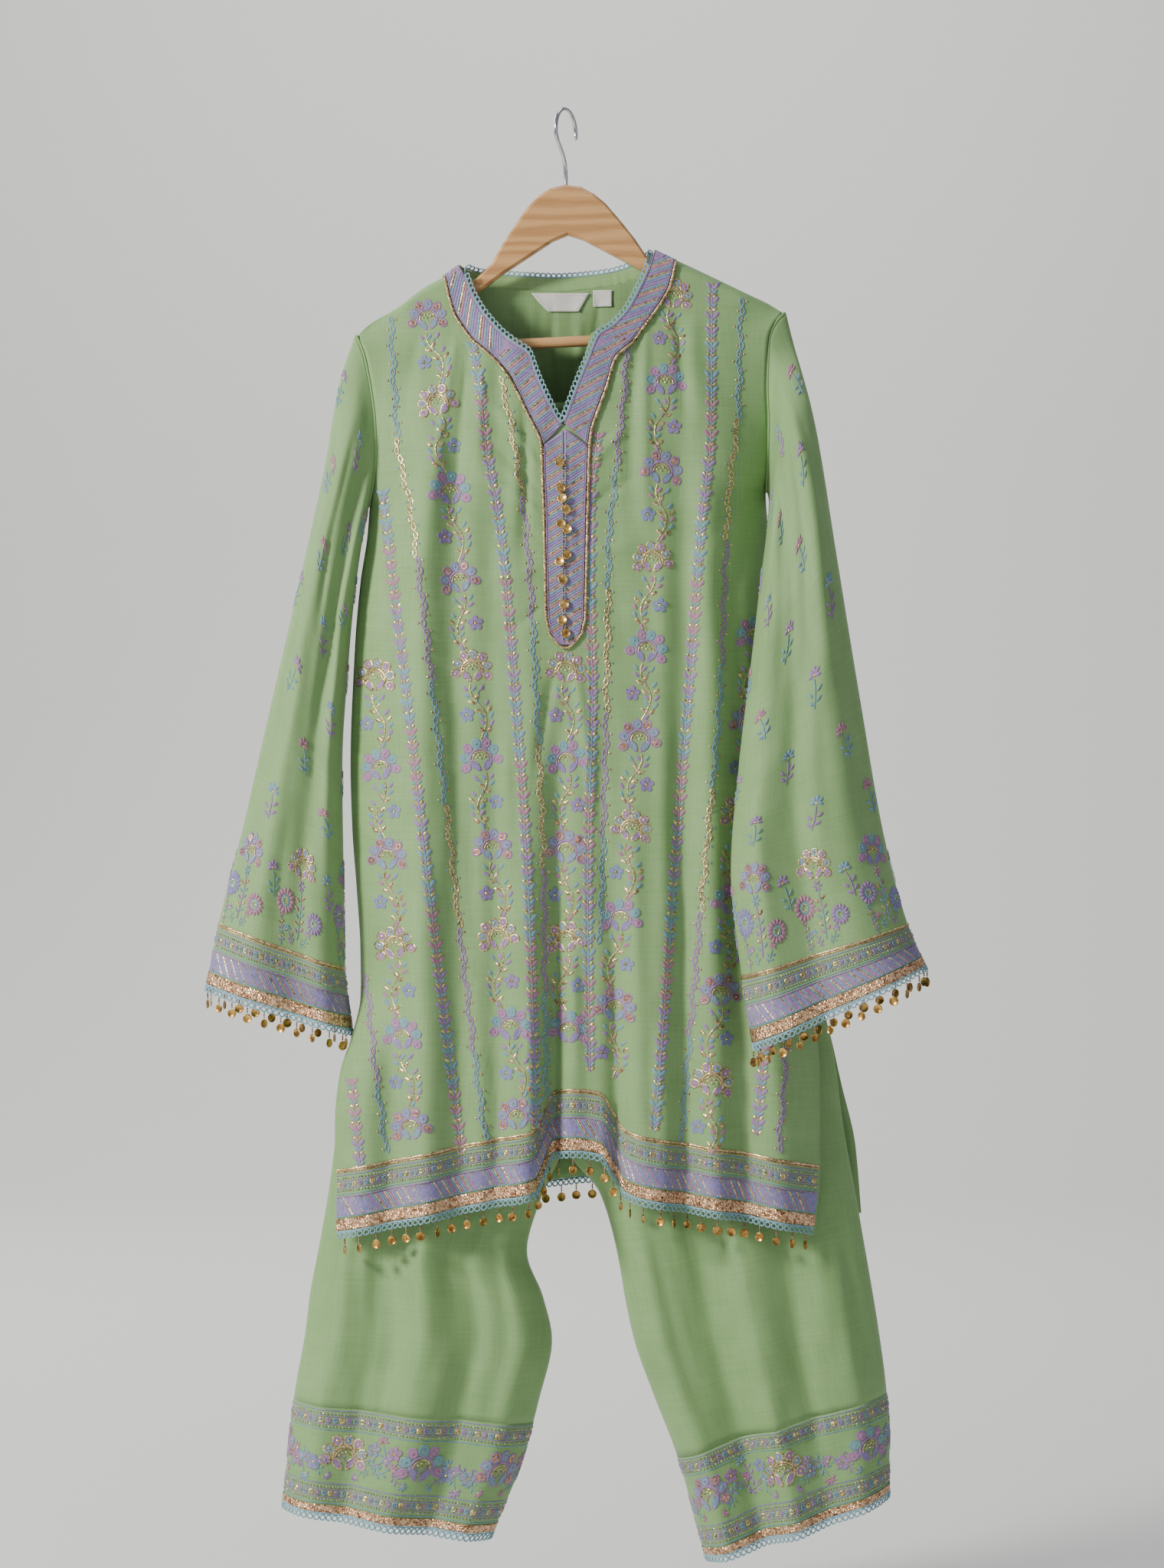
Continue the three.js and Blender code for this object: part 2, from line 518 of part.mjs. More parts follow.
// A point of a leg, at turn round it from the inseam, and t down it.
function onLeg(rows, folds, turn, t) {
  const get = (column) => read(rows, 't', t, column);
  const across = (1 + Math.cos(turn)) / 2; // 0 at the outer edge, 1 at the inseam
  const side = Math.sin(turn);
  const bowl = Math.abs(side) ** 0.85;
  const half = Math.sqrt(Math.max(across * (2 - across), 0)) ** 0.85;
  const closed = clamp01(get('closed'));
  let depth = get('depth') * mix(half, bowl, closed);
  for (const fold of folds) {
    const off = (across - fold.place) / fold.width;
    depth += mix(fold.start, fold.end, ease((t - 0.5) / 0.3)) * ease((t - 0.5) / 0.2)
      * Math.exp(-off * off) * Math.min(1, 2 * bowl);
  }
  depth = Math.max(depth, 0.8 * Math.min(1, 40 * Math.abs(side)));
  const sign = side >= 0 ? -1 : 1;
  return new THREE.Vector3(
    mix(get('ox'), get('ix'), across), sign * depth, mix(get('oz'), get('iz'), across));
}

function leg(name, rows, folds, seam, out) {
  const place = (turn, t) => onLeg(rows, folds, turn, t);
  const sewn = (turn) => mix(seam[0], seam[1], (1 + Math.cos(turn)) / 2);
  const seamTurn = 0.012; // the two long edges stop just short of each other at the inseam
  const turns = spread(seamTurn, 2 * Math.PI - seamTurn, LEG_COLUMNS);
  const cloth = LEG_ROWS.map((t) => turns.map((turn) => place(turn, t)));
  cloth.push(turns.map((turn) => place(turn, sewn(turn) - SEAM / LEG_LENGTH)));
  addMesh(`salwar_leg_${name}`, wall(cloth, CLOTH), 'cloth');
  const ribbonTop = 1 - ANKLE_RIBBON / LEG_LENGTH;
  const onBand = (turn, share) => place(turn, mix(sewn(turn), ribbonTop, share));
  const band = [0, 0.5, 1].map((share) => ring(onBand, LEG_COLUMNS, share));
  band.push(ring(place, LEG_COLUMNS, 1));
  addMesh(`ankle_band_${name}`, wall(band, CLOTH, true), 'cloth');
  const trim = [ribbonTop, 1, 1 + ANKLE_LACE / LEG_LENGTH].map(
    (t) => ringOut(place, LEG_COLUMNS, t, out * FOLDED_RISE));
  addMesh(`ankle_trim_${name}`, wall(trim, TRIM, true), 'lace');
}

// ---------------------------------------------------------------- waistband with its loops
// Height of the tilted bar's axis at a place across the garment.
function barAt(x) {
  const below = BAR_HEIGHT - PIVOT;
  const along = (x + below * Math.sin(HANGER_TILT)) / Math.cos(HANGER_TILT);
  return PIVOT + along * Math.sin(HANGER_TILT) + below * Math.cos(HANGER_TILT);
}

function waistband() {
  const edge = (z) => ring((turn) => new THREE.Vector3(
    150 * Math.cos(turn), 14 * Math.sign(Math.sin(turn)) * Math.abs(Math.sin(turn)) ** 0.85, z), 22, 0);
  const band = wall([edge(WAIST_TOP), edge(WAIST_BOTTOM)], 1.6, true);
  const loop = (side) => {
    const barHeight = barAt(side * LOOP_PLACE);
    const reach = BAR_RADIUS + 0.4 + CLOTH / 2;
    const foot = 14 * Math.sin(Math.acos(LOOP_PLACE / 150)) ** 0.85;
    const arc = spread(0, Math.PI, 6).map((angle) => [-reach * Math.cos(angle), barHeight + reach * Math.sin(angle)]);
    const path = [[-foot, WAIST_TOP - 6], [-foot, WAIST_TOP + 4], ...arc, [foot, WAIST_TOP + 4],
      [foot, WAIST_TOP - 6]];
    const edgeAt = (x, tilt) => path.map(([y, z]) => new THREE.Vector3(x, y, z + tilt));
    const left = side * LOOP_PLACE - LOOP_WIDTH / 2;
    const drop = LOOP_WIDTH * Math.tan(HANGER_TILT);
    return wall([edgeAt(left, -drop / 2), edgeAt(left + LOOP_WIDTH, drop / 2)], CLOTH);
  };
  return join([band, loop(-1), loop(1)]);
}

// ---------------------------------------------------------------- neck
// The band on the front, from the shoulder to the V: inner edge, then outer edge.
const BAND_LEFT = table('ix iz ox oz',
  [-97.5, -142.6, -109, -150.6], [-92, -153.5, -106, -166], [-86, -170, -100, -187],
  [-74, -190.5, -86, -208], [-59, -207, -69, -224], [-45, -218.5, -56, -236], [-34, -225, -49, -246],
  [-27.5, -244.5, -41.5, -262], [-18.6, -266.5, -31, -283], [-10, -283, -22.5, -300],
  [-2.6, -292, -20, -309]);
const BAND_RIGHT = table('ix iz ox oz',
  [81, -128.6, 99, -136.6], [76, -146, 93.5, -162], [68, -164, 83.5, -179], [56, -187, 70, -199],
  [43, -201, 59, -214], [31, -207, 45, -226], [26.3, -216, 41, -235], [20, -234, 37, -250],
  [10, -258, 29, -273], [3.4, -277, 22, -292], [-1.6, -291, 19.5, -309]);
// The standing band at the back: its seam, then its top edge.
const BAND_BACK = table('sx sy sz tx ty tz',
  [-109, 1, -148.4, -97.5, 1, -140.4], [-103, 10.5, -151, -93, 10, -142.5], [-90, 15, -155.5, -84, 18, -145.5],
  [-60, 17, -159.5, -58, 22, -147.5], [-5, 17.5, -162, -5, 23, -150.5], [45, 17, -156.5, 44, 22, -145.5],
  [78, 15.5, -145.5, 72, 18, -135.5], [92, 10.5, -139, 80, 10, -129.5], [99, 1, -134.4, 81, 1, -126.4]);
const PLACKET = table('z left right',
  [-309.4, -20, 19.5], [-345, -18.6, 18.4], [-392, -17.2, 17.3], [-435, -16.4, 16.2], [-466, -15.6, 15.4],
  [-479, -13, 12.6], [-486, -8.5, 8.2], [-490, -3.2, 3]);
const NECK_OUT = 2.4;

function frontBand(rows) {
  const flip = rows === BAND_RIGHT;
  const steps = [0, 0.12, 0.3, 0.6, ...spread(1, rows.length - 1, rows.length - 2)];
  const points = steps.map((step) => spread(0, 1, 2).map((s) => {
    const row = rows[Math.min(Math.floor(step), rows.length - 2)];
    const next = rows[rows.indexOf(row) + 1];
    const along = step - rows.indexOf(row);
    const across = flip ? s : 1 - s;
    const x = mix(mix(row.ix, next.ix, along), mix(row.ox, next.ox, along), across);
    const z = mix(mix(row.iz, next.iz, along), mix(row.oz, next.oz, along), across);
    return offBody(-1, x, z, NECK_OUT);
  }));
  points[0].forEach((point) => point.setY(Math.min(point.y, -0.8)));
  return wall(points, TRIM);
}

function backBand() {
  const points = [1, 0].map((top) => BAND_BACK.map((row) => new THREE.Vector3(
    mix(row.sx, row.tx, top), mix(row.sy, row.ty, top), mix(row.sz, row.tz, top))));
  return wall(points, TRIM);
}

// Picot lace all round the inside edge of the neck band, as one closed strip.
function neckLace() {
  const front = (rows) => rows.slice(1).map((row) => {
    const inner = offBody(-1, row.ix, row.iz, NECK_OUT);
    const away = inner.clone().sub(offBody(-1, row.ox, row.oz, NECK_OUT)).normalize();
    return [inner, away];
  });
  const back = BAND_BACK.slice(1, -1).map((row) => {
    const top = new THREE.Vector3(row.tx, row.ty, row.tz);
    return [top, top.clone().sub(new THREE.Vector3(row.sx, row.sy, row.sz)).normalize()];
  });
  const over = (x, z) => [new THREE.Vector3(x, 0, z), new THREE.Vector3(-0.6 * Math.sign(x), 0, 0.8)];
  const tip = [offBody(-1, -2.1, -291.6, NECK_OUT), new THREE.Vector3(0, 0, 1)];
  const loop = [over(-97, -139), ...front(BAND_LEFT).slice(0, -2), tip,
    ...front(BAND_RIGHT).slice(0, -2).reverse(), over(81, -125), ...back.reverse()];
  const edge = (out) => loop.map(([point, away]) => point.clone().addScaledVector(away, out));
  return wall([edge(0.5), edge(0.5 + NECK_LACE_WIDTH)], TRIM, true);
}

// The placket: its top edge rises to the V, and a slit runs down its middle.
function placket() {
  const points = PLACKET.map((row, i) => spread(0, 1, 4).map((s) => {
    const rise = i === 0 ? 14.5 * (1 - Math.abs(2 * s - 1)) : 0;
    return offBody(-1, mix(row.left, row.right, s), row.z + rise, NECK_OUT);
  }));
  const slit = new THREE.BoxGeometry(0.7, 60, 175);
  slit.translate(-1.2, -50, -386);
  return toGeometry(toSolid(wall(points, TRIM)).subtract(toSolid(slit)));
}

// Coins strung down the slit on a cord of small beads.
const PLACKET_COINS = table('x z turn',
  [-5, -326, 0.5], [-4, -349, 0.2], [-3, -358, -0.6], [0, -368, 0.4], [-4, -381, 0.1],
  [1, -386, -0.3], [1, -409, 0.2], [-5, -415, -0.5], [-2, -431, 0.5], [-1, -454, 0.1],
  [-3, -468, -0.4], [0, -480, 0.2]);
function placketCoins() {
  const cordOut = NECK_OUT + 2.1;
  const cordWidth = 3.2;
  const cord = spread(-318, -482, 10).map((z) => [-1 - cordWidth / 2, -1 + cordWidth / 2].map(
    (x) => offBody(-1, x, z, cordOut)));
  const coins = PLACKET_COINS.map((row) => {
    const coin = new THREE.CylinderGeometry(COIN_RADIUS, COIN_RADIUS, COIN_THICK, 6);
    coin.rotateX(0.25);
    coin.rotateZ(0.5 * row.turn);
    const place = offBody(-1, row.x, row.z, cordOut + 0.8);
    coin.translate(place.x, place.y, place.z);
    return coin;
  });
  return join([wall(cord, 2.2), ...coins]);
}

// ---------------------------------------------------------------- labels
function label(rows) {
  const points = rows.map((row) => spread(0, 1, 3).map((s) => {
    const x = mix(row.left, row.right, s);
    return offBody(1, x, row.z, -RISE - 0.6);
  }));
  return wall(points, 0.8);
}
const MAIN_LABEL = table('z left right', [-164.4, -32, 21.5], [-172, -26, 17], [-181, -16.5, 11.5]);
const SIZE_LABEL = table('z left right', [-161.8, 24.8, 42], [-170, 24.8, 42], [-176.5, 24.8, 42]);

// ---------------------------------------------------------------- hanger
// Half of the arms' outline: the top edge outwards, then the lower edge back.
const ARM_TOP = table('x z',
  [0, -68], [14, -70.5], [25, -77], [36, -87], [48, -102.5], [60, -119], [71, -137], [85, -149],
  [100, -156.5], [128, -166.5], [150, -178], [166, -190]);
const ARM_LOWER = table('x z',
  [172, -213], [165, -221], [156, -219], [140, -204], [110, -180.5], [85, -163], [60, -146], [36, -132],
  [14, -119], [0, -114]);

function hangerArms() {
  const corners = (rows, side) => rows.map((row) => new THREE.Vector2(side * row.x, row.z));
  const right = [...corners(ARM_TOP, 1), ...corners(ARM_LOWER, 1)];
  const left = [...corners(ARM_TOP, -1), ...corners(ARM_LOWER, -1)].reverse().slice(1, -1);
  const geometry = new THREE.ExtrudeGeometry(new THREE.Shape([...right, ...left]), {
    depth: ARM_THICK - 2 * ARM_BEVEL, bevelEnabled: true, bevelThickness: ARM_BEVEL,
    bevelSize: ARM_BEVEL, bevelOffset: -ARM_BEVEL, bevelSegments: 1,
  });
  geometry.rotateX(Math.PI / 2);
  geometry.translate(0, ARM_THICK / 2 - ARM_BEVEL, 0);
  const hole = (radius, length) => new THREE.CylinderGeometry(radius, radius, length, 16);
  const barHole = hole(BAR_RADIUS + 0.3, 2 * BAR_HALF + 0.6);
  barHole.rotateZ(Math.PI / 2);
  barHole.translate(0, 0, BAR_HEIGHT);
  const wireHole = hole(WIRE + 0.3, 30);
  wireHole.rotateX(Math.PI / 2);
  wireHole.rotateY(HANGER_TILT);
  wireHole.translate(0, 0, PIVOT);
  return toGeometry(toSolid(geometry).subtract(toSolid(barHole)).subtract(toSolid(wireHole)));
}

function hook() {
  const towards = new THREE.Vector3(-Math.sin(HOOK_TURN), -Math.cos(HOOK_TURN), 0);
  const centre = new THREE.Vector3(0, 0, WIRE - HOOK_RADIUS);
  const up = new THREE.Vector3(0, 0, 1);
  const bend = spread(-1.75, 2.35, 16).map((angle) => centre.clone()
    .addScaledVector(towards, HOOK_RADIUS * Math.sin(angle))
    .addScaledVector(up, HOOK_RADIUS * Math.cos(angle)));
  const stem = [towards.clone().multiplyScalar(4).setZ(-41), new THREE.Vector3(0, 0, -52),
    new THREE.Vector3(0, 0, -66), new THREE.Vector3(0, 0, -86)];
  const round = new THREE.Shape(spread(0, 1, 8).slice(0, -1).map((s) => new THREE.Vector2(
    WIRE * Math.cos(2 * Math.PI * s), WIRE * Math.sin(2 * Math.PI * s))));
  return new THREE.ExtrudeGeometry(round, {
    steps: 32, extrudePath: new THREE.CatmullRomCurve3([...bend, ...stem]), bevelEnabled: false,
  });
}

function buildHanger() {
  const tilted = new THREE.Group();
  tilted.rotation.y = -HANGER_TILT;
  tilted.position.set(PIVOT * Math.sin(HANGER_TILT), 0, PIVOT * (1 - Math.cos(HANGER_TILT)));
  part.add(tilted);
  addMesh('hanger_arms', hangerArms(), 'wood', tilted);
  const bar = new THREE.CylinderGeometry(BAR_RADIUS, BAR_RADIUS, 2 * BAR_HALF, 16);
  bar.rotateZ(Math.PI / 2);
  bar.translate(0, 0, BAR_HEIGHT);
  addMesh('trouser_bar', bar, 'wood', tilted);
  addMesh('hook', hook(), 'wire');
}

// ---------------------------------------------------------------- assembly
function buildKurta() {
  addMesh('kurta_front', panel(-1, PANEL_COLUMNS, FRONT_ROWS), 'cloth');
  addMesh('kurta_back', panel(1, BACK_COLUMNS, BACK_ROWS), 'cloth');
  sleeve('left', SLEEVE_LEFT, SLEEVE_FOLDS_LEFT, FRONT_LEFT, -1);
  sleeve('right', SLEEVE_RIGHT, SLEEVE_FOLDS_RIGHT, FRONT_RIGHT, 1);
  addMesh('hem_ribbon_front', hemStrip(-1, PANEL_COLUMNS, RIBBON_WIDTH, 0, FOLDED_RISE), 'ribbon');
  addMesh('hem_ribbon_back', hemStrip(1, BACK_COLUMNS, RIBBON_WIDTH, 0, RISE), 'ribbon');
  addMesh('hem_lace_front', hemLace(-1, PANEL_COLUMNS, FOLDED_RISE + 0.3), 'lace');
  addMesh('hem_lace_back', hemLace(1, BACK_COLUMNS, RISE - 0.4), 'lace');
  addMesh('neck_band_left', frontBand(BAND_LEFT), 'band');
  addMesh('neck_band_right', frontBand(BAND_RIGHT), 'band');
  addMesh('neck_band_back', backBand(), 'cloth');
  addMesh('neck_lace', neckLace(), 'lace');
  addMesh('placket', placket(), 'band');
  addMesh('placket_coins', placketCoins(), 'coin');
  addMesh('main_label', label(MAIN_LABEL), 'label');
  addMesh('size_label', label(SIZE_LABEL), 'label');
}

function buildSalwar() {
  addMesh('waistband', waistband(), 'cloth');
  leg('left', LEG_LEFT, LEG_FOLDS_LEFT, ANKLE_SEAM_LEFT, 1);
  leg('right', LEG_RIGHT, LEG_FOLDS_RIGHT, ANKLE_SEAM_RIGHT, -1);
}

buildHanger();
buildKurta();
buildSalwar();

export default part;
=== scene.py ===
# %% [markdown]
# # A farshi salwar suit on a wooden hanger
# The suit is a long kurta with bell sleeves over a very wide salwar, both in pistachio
# cotton silk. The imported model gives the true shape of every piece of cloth. Here each
# piece is cut again as a fine, creased sheet on that same shape, and then it is
# embroidered, edged with lace and hung with coins. Lengths in the tables are in
# millimetres; the last step of every piece turns them into metres.

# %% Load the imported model
import math

import bmesh
import bpy
import numpy as np
from mathutils import Matrix, Vector


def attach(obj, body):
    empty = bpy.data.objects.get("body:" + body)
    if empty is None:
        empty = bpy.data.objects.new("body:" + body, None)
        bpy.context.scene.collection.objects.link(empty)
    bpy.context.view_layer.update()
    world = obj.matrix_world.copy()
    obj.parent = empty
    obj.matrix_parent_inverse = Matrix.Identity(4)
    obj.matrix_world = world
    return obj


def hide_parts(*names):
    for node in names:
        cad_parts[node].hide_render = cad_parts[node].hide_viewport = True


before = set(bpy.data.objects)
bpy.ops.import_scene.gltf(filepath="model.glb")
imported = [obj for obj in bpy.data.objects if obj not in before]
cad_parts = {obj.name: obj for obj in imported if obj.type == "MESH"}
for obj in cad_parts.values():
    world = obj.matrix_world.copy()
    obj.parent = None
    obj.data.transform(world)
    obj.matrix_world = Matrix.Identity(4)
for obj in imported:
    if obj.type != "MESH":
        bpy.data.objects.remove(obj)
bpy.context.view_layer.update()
print("nodes in the packed model:", len(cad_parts))

# %% [markdown]
# ## Camera, floor and light
# The suit hangs on a rail, so the camera stands level with its middle, a little over
# three metres away. The floor lies below the ankles and sweeps up behind. One large
# lamp from the upper left shades the folds, and a weak one opens the shadows.

# %% Camera and stage
SENSOR, DISTANCE = 36, 3.2
FRAME_HEIGHT = 2048 * 0.0007  # metres that the frame spans at the suit
FLOOR_HEIGHT, SWEEP_RADIUS = -1.42, 1.6
camera_data = bpy.data.cameras.new("camera")
camera_data.sensor_width = SENSOR
camera_data.lens = SENSOR * DISTANCE / FRAME_HEIGHT
camera_data.clip_end = 60
camera = bpy.data.objects.new("camera", camera_data)
camera.location = (0.0147, -DISTANCE, -0.6153)
camera.rotation_euler = (math.pi / 2, 0, 0)
bpy.context.scene.collection.objects.link(camera)
bpy.context.scene.camera = camera


def mesh_of(bm, name):
    """Turns a bmesh into a mesh and frees it."""
    mesh = bpy.data.meshes.new(name)
    bm.to_mesh(mesh)
    bm.free()
    return mesh


def link(name, mesh, materials=()):
    """Puts a finished mesh into the scene under that name."""
    mesh.name = name
    for material in materials:
        mesh.materials.append(material)
    piece = bpy.data.objects.new(name, mesh)
    bpy.context.scene.collection.objects.link(piece)
    return piece


def sweep():
    """A floor that curves up into a wall behind the suit."""
    bm = bmesh.new()
    bmesh.ops.create_grid(bm, x_segments=1, y_segments=40, size=1)
    for vert in bm.verts:
        along = (vert.co.y + 1) / 2
        bend = max(along - 0.45, 0) / 0.3
        turn = min(bend, 1) * math.pi / 2
        far = -4.5 + 18 * min(along, 0.45) + SWEEP_RADIUS * math.sin(turn)
        high = SWEEP_RADIUS * (1 - math.cos(turn)) + 16 * max(along - 0.75, 0)
        vert.co = Vector((9 * vert.co.x, far, FLOOR_HEIGHT + high))
    mesh = mesh_of(bm, "floor")
    mesh.shade_smooth()
    return mesh


def lamp(name, place, aim, size, power, colour=(1, 1, 1)):
    data = bpy.data.lights.new(name, "AREA")
    data.shape, data.size, data.energy, data.color = "DISK", size, power, colour
    made = bpy.data.objects.new(name, data)
    made.location = place
    made.rotation_euler = (Vector(aim) - Vector(place)).to_track_quat("-Z", "Y").to_euler()
    bpy.context.scene.collection.objects.link(made)


floor_paint = bpy.data.materials.new("pale_floor")
floor_paint.use_nodes = True
paint_shader = floor_paint.node_tree.nodes["Principled BSDF"]
paint_shader.inputs["Base Color"].default_value = (0.72, 0.72, 0.7, 1)
paint_shader.inputs["Roughness"].default_value = 0.9
floor = link("floor", sweep(), [floor_paint])
lamp("key_lamp", (-2.9, -1.9, 0.9), (0, 0, -0.6), 0.7, 190, (1, 0.97, 0.92))
lamp("fill_lamp", (2.4, -3.2, -0.2), (0, 0, -0.7), 2.4, 12, (0.9, 0.95, 1))
lamp("top_lamp", (0.3, 0.6, 2.6), (0, 0, -0.5), 2.0, 30)
lamp("back_lamp", (-2.4, 2.8, 1.4), (0, 0, -0.6), 1.6, 60)
lamp("wall_lamp", (0, 2.2, 2.6), (0, 5.2, 0.2), 2.5, 110)
world = bpy.data.worlds.new("studio")
world.use_nodes = True
world.node_tree.nodes["Background"].inputs["Color"].default_value = (0.9, 0.95, 1, 1)
world.node_tree.nodes["Background"].inputs["Strength"].default_value = 0.3
bpy.context.scene.world = world
print("the frame spans", round(FRAME_HEIGHT, 3), "m at the suit")

# %% [markdown]
# ## Reading a pattern table
# A pattern cutter writes a curve down as a list of measurements. Here too a curve is a
# table, and `read` draws a smooth line through its rows that never swings past them.
# It takes whole arrays at once, so that a piece with many thousand points is quick.

# %% Tables and smooth reading


def table(names, *rows):
    return dict(zip(names.split(), np.array(rows, float).T))


def read(rows, by, at, column):
    x, y, at = rows[by], rows[column], np.asarray(at, float)
    if x[-1] < x[0]:
        x, at = -x, -at
    slope = np.diff(y) / np.diff(x)
    before, after = np.r_[slope[0], slope], np.r_[slope, slope[-1]]
    both = before + after
    tangent = np.where(before * after > 0, 2 * before * after / np.where(both == 0, 1, both), 0)
    i = np.clip(np.searchsorted(x, at, side="right") - 1, 0, len(x) - 2)
    span = x[i + 1] - x[i]
    raw = (at - x[i]) / span
    s = np.clip(raw, 0, 1)
    s2, s3 = s * s, s * s * s
    curve = (y[i] * (2 * s3 - 3 * s2 + 1) + tangent[i] * span * (s3 - 2 * s2 + s)
             + y[i + 1] * (3 * s2 - 2 * s3) + tangent[i + 1] * span * (s3 - s2))
    return curve + slope[i] * span * (raw - s)


def clamp01(t):
    return np.clip(t, 0, 1)


def ease(t):
    t = clamp01(t)
    return t * t * (3 - 2 * t)


def mix(a, b, t):
    return a + (b - a) * t


def lengths_along(points):
    """The length of a line up to each of its points."""
    return np.r_[0, np.cumsum(np.linalg.norm(np.diff(points, axis=0), axis=1))]


# %% [markdown]
# ## The kurta's cut
# The front and the back are flat panels that hang over the hanger. Each is held as a
# depth at every place x, z: so far the cloth stands off the middle of the body. The
# long soft folds are wide ridges and troughs in that depth.

# %% Panel tables
ARMHOLE = [[-221, -183.5], [-238, -179.3], [-263, -175], [-287, -172.3], [-313, -171.6],
           [-340, -174.4], [-361, -178.8], [-389, -181.1], [-431, -187.4], [-487, -192.3],
           [-598, -196.5], [-654, -195], [-710, -191], [-766, -187.5], [-808, -187]]
RIGHT_SIDE = [[-185, 198.3], [-194, 190.5], [-208, 184.5], [-226, 183], [-252, 182.2], [-288, 183.6],
              [-319, 182.9], [-348, 182.2], [-389, 185], [-460, 189.4], [-599, 198.5]]
EDGES = {
    (-1, 0): table("z x", [-205.7, -190], *ARMHOLE, [-843, -193.7], [-878, -204.5], [-920, -208.5],
                   [-1020, -208]),
    (-1, 1): table("z x", *RIGHT_SIDE, [-737, 212.3], [-821, 224], [-876, 230], [-961, 230],
                   [-1020, 225]),
    (1, 0): table("z x", [-205.7, -190], *ARMHOLE, [-860, -190], [-920, -198], [-1012, -206]),
    (1, 1): table("z x", *RIGHT_SIDE, [-737, 212.3], [-804, 225], [-829, 238], [-896, 255],
                  [-947, 267], [-1012, 273]),
}
SHOULDER = table(
    "x z", [-190, -205.7], [-183.6, -199], [-175, -192.6], [-163, -186], [-151, -178.5],
    [-140, -169.5], [-127, -160.5], [-114, -153.5], [-97, -142], [-60, -118], [0, -100], [50, -112],
    [80, -128], [102, -137.5], [132, -151.5], [161, -165.5], [190, -179.5], [198.3, -185])
NECKLINE = table(
    "x z", [-103, -146.3], [-98, -153], [-91, -170], [-77, -190], [-59.5, -206], [-45.5, -217.5],
    [-33.8, -224.5], [-27.6, -244.3], [-18.6, -266.5], [-9.6, -283], [-2, -292], [2.6, -279],
    [9.8, -257.5], [20.2, -233], [26.5, -215.5], [30.8, -206.5], [43, -200.5], [57, -188],
    [70, -168.7], [80, -149.3], [87, -130.8])
BACK_NECK = table(
    "x z", [-109, -150.6], [-104, -153.5], [-90, -157.5], [-60, -160.5], [-5, -163], [45, -157.5],
    [78, -146.8], [93, -143], [100, -142.6])
HEM = {
    -1: table("x z", [-208, -1019.5], [-164, -1010.5], [-116, -1000], [-68, -990], [-30, -981],
              [-22, -964], [-14, -948.5], [4, -945], [28, -948], [40, -966], [52, -982], [87, -990.5],
              [147, -1000], [225, -1015.5]),
    1: table("x z", [-206, -1006], [-120, -996], [-40, -984], [20, -978], [80, -984], [160, -996],
             [273, -1012]),
}
DEPTH = table("z front back", [-150, 30, 26], [-300, 40, 33], [-450, 46, 37], [-600, 50, 39],
              [-800, 55, 42], [-1020, 58, 44])
EDGE_DEPTH = {
    0: table("z depth", [-205.7, 1], [-216, 9], [-240, 13], [-283, 14], [-325, 12], [-349, 8], [-361, 1],
             [-400, 1], [-790, 1], [-830, 14], [-880, 30], [-1020, 40]),
    1: table("z depth", [-185, 1], [-196, 9], [-222, 13], [-267, 14], [-310, 12], [-336, 8], [-348, 1],
             [-400, 1], [-770, 1], [-812, 14], [-862, 28], [-1020, 38]),
}
FOLDS = {
    -1: table("x0 z0 x1 z1 width start end",
              [-3, -492, -15, -1030, 11, 0, 25], [40, -640, 50, -1010, 9, 0, 13],
              [14, -700, 20, -1030, 24, 0, 11], [-30, -420, -36, -1030, 13, -1, -9],
              [66, -560, 74, -1010, 14, -1, -9], [-104, -250, -92, -1030, 15, 5, 8],
              [-150, -260, -160, -1030, 14, 4, 9], [-128, -250, -124, -1030, 14, -4, -8],
              [-70, -330, -62, -1030, 12, 3, 7], [106, -260, 106, -1030, 14, 4, 8],
              [146, -330, 164, -1030, 15, 6, 10], [126, -300, 136, -1030, 13, -4, -8],
              [88, -330, 90, -1030, 11, -2, -6], [-176, -640, -190, -1030, 12, 0, -6],
              [186, -640, 200, -1030, 14, 0, -7]),
    1: table("x0 z0 x1 z1 width start end",
             [-6, -190, -8, -1030, 20, -5, -11], [-52, -200, -58, -1030, 17, 3, 8],
             [40, -200, 48, -1030, 17, 3, 8], [-100, -280, -108, -1030, 18, -4, -9],
             [92, -280, 104, -1030, 18, -4, -9], [-146, -340, -156, -1030, 16, 3, 7],
             [138, -340, 156, -1030, 16, 3, 7], [186, -640, 214, -1030, 18, 0, -8]),
}
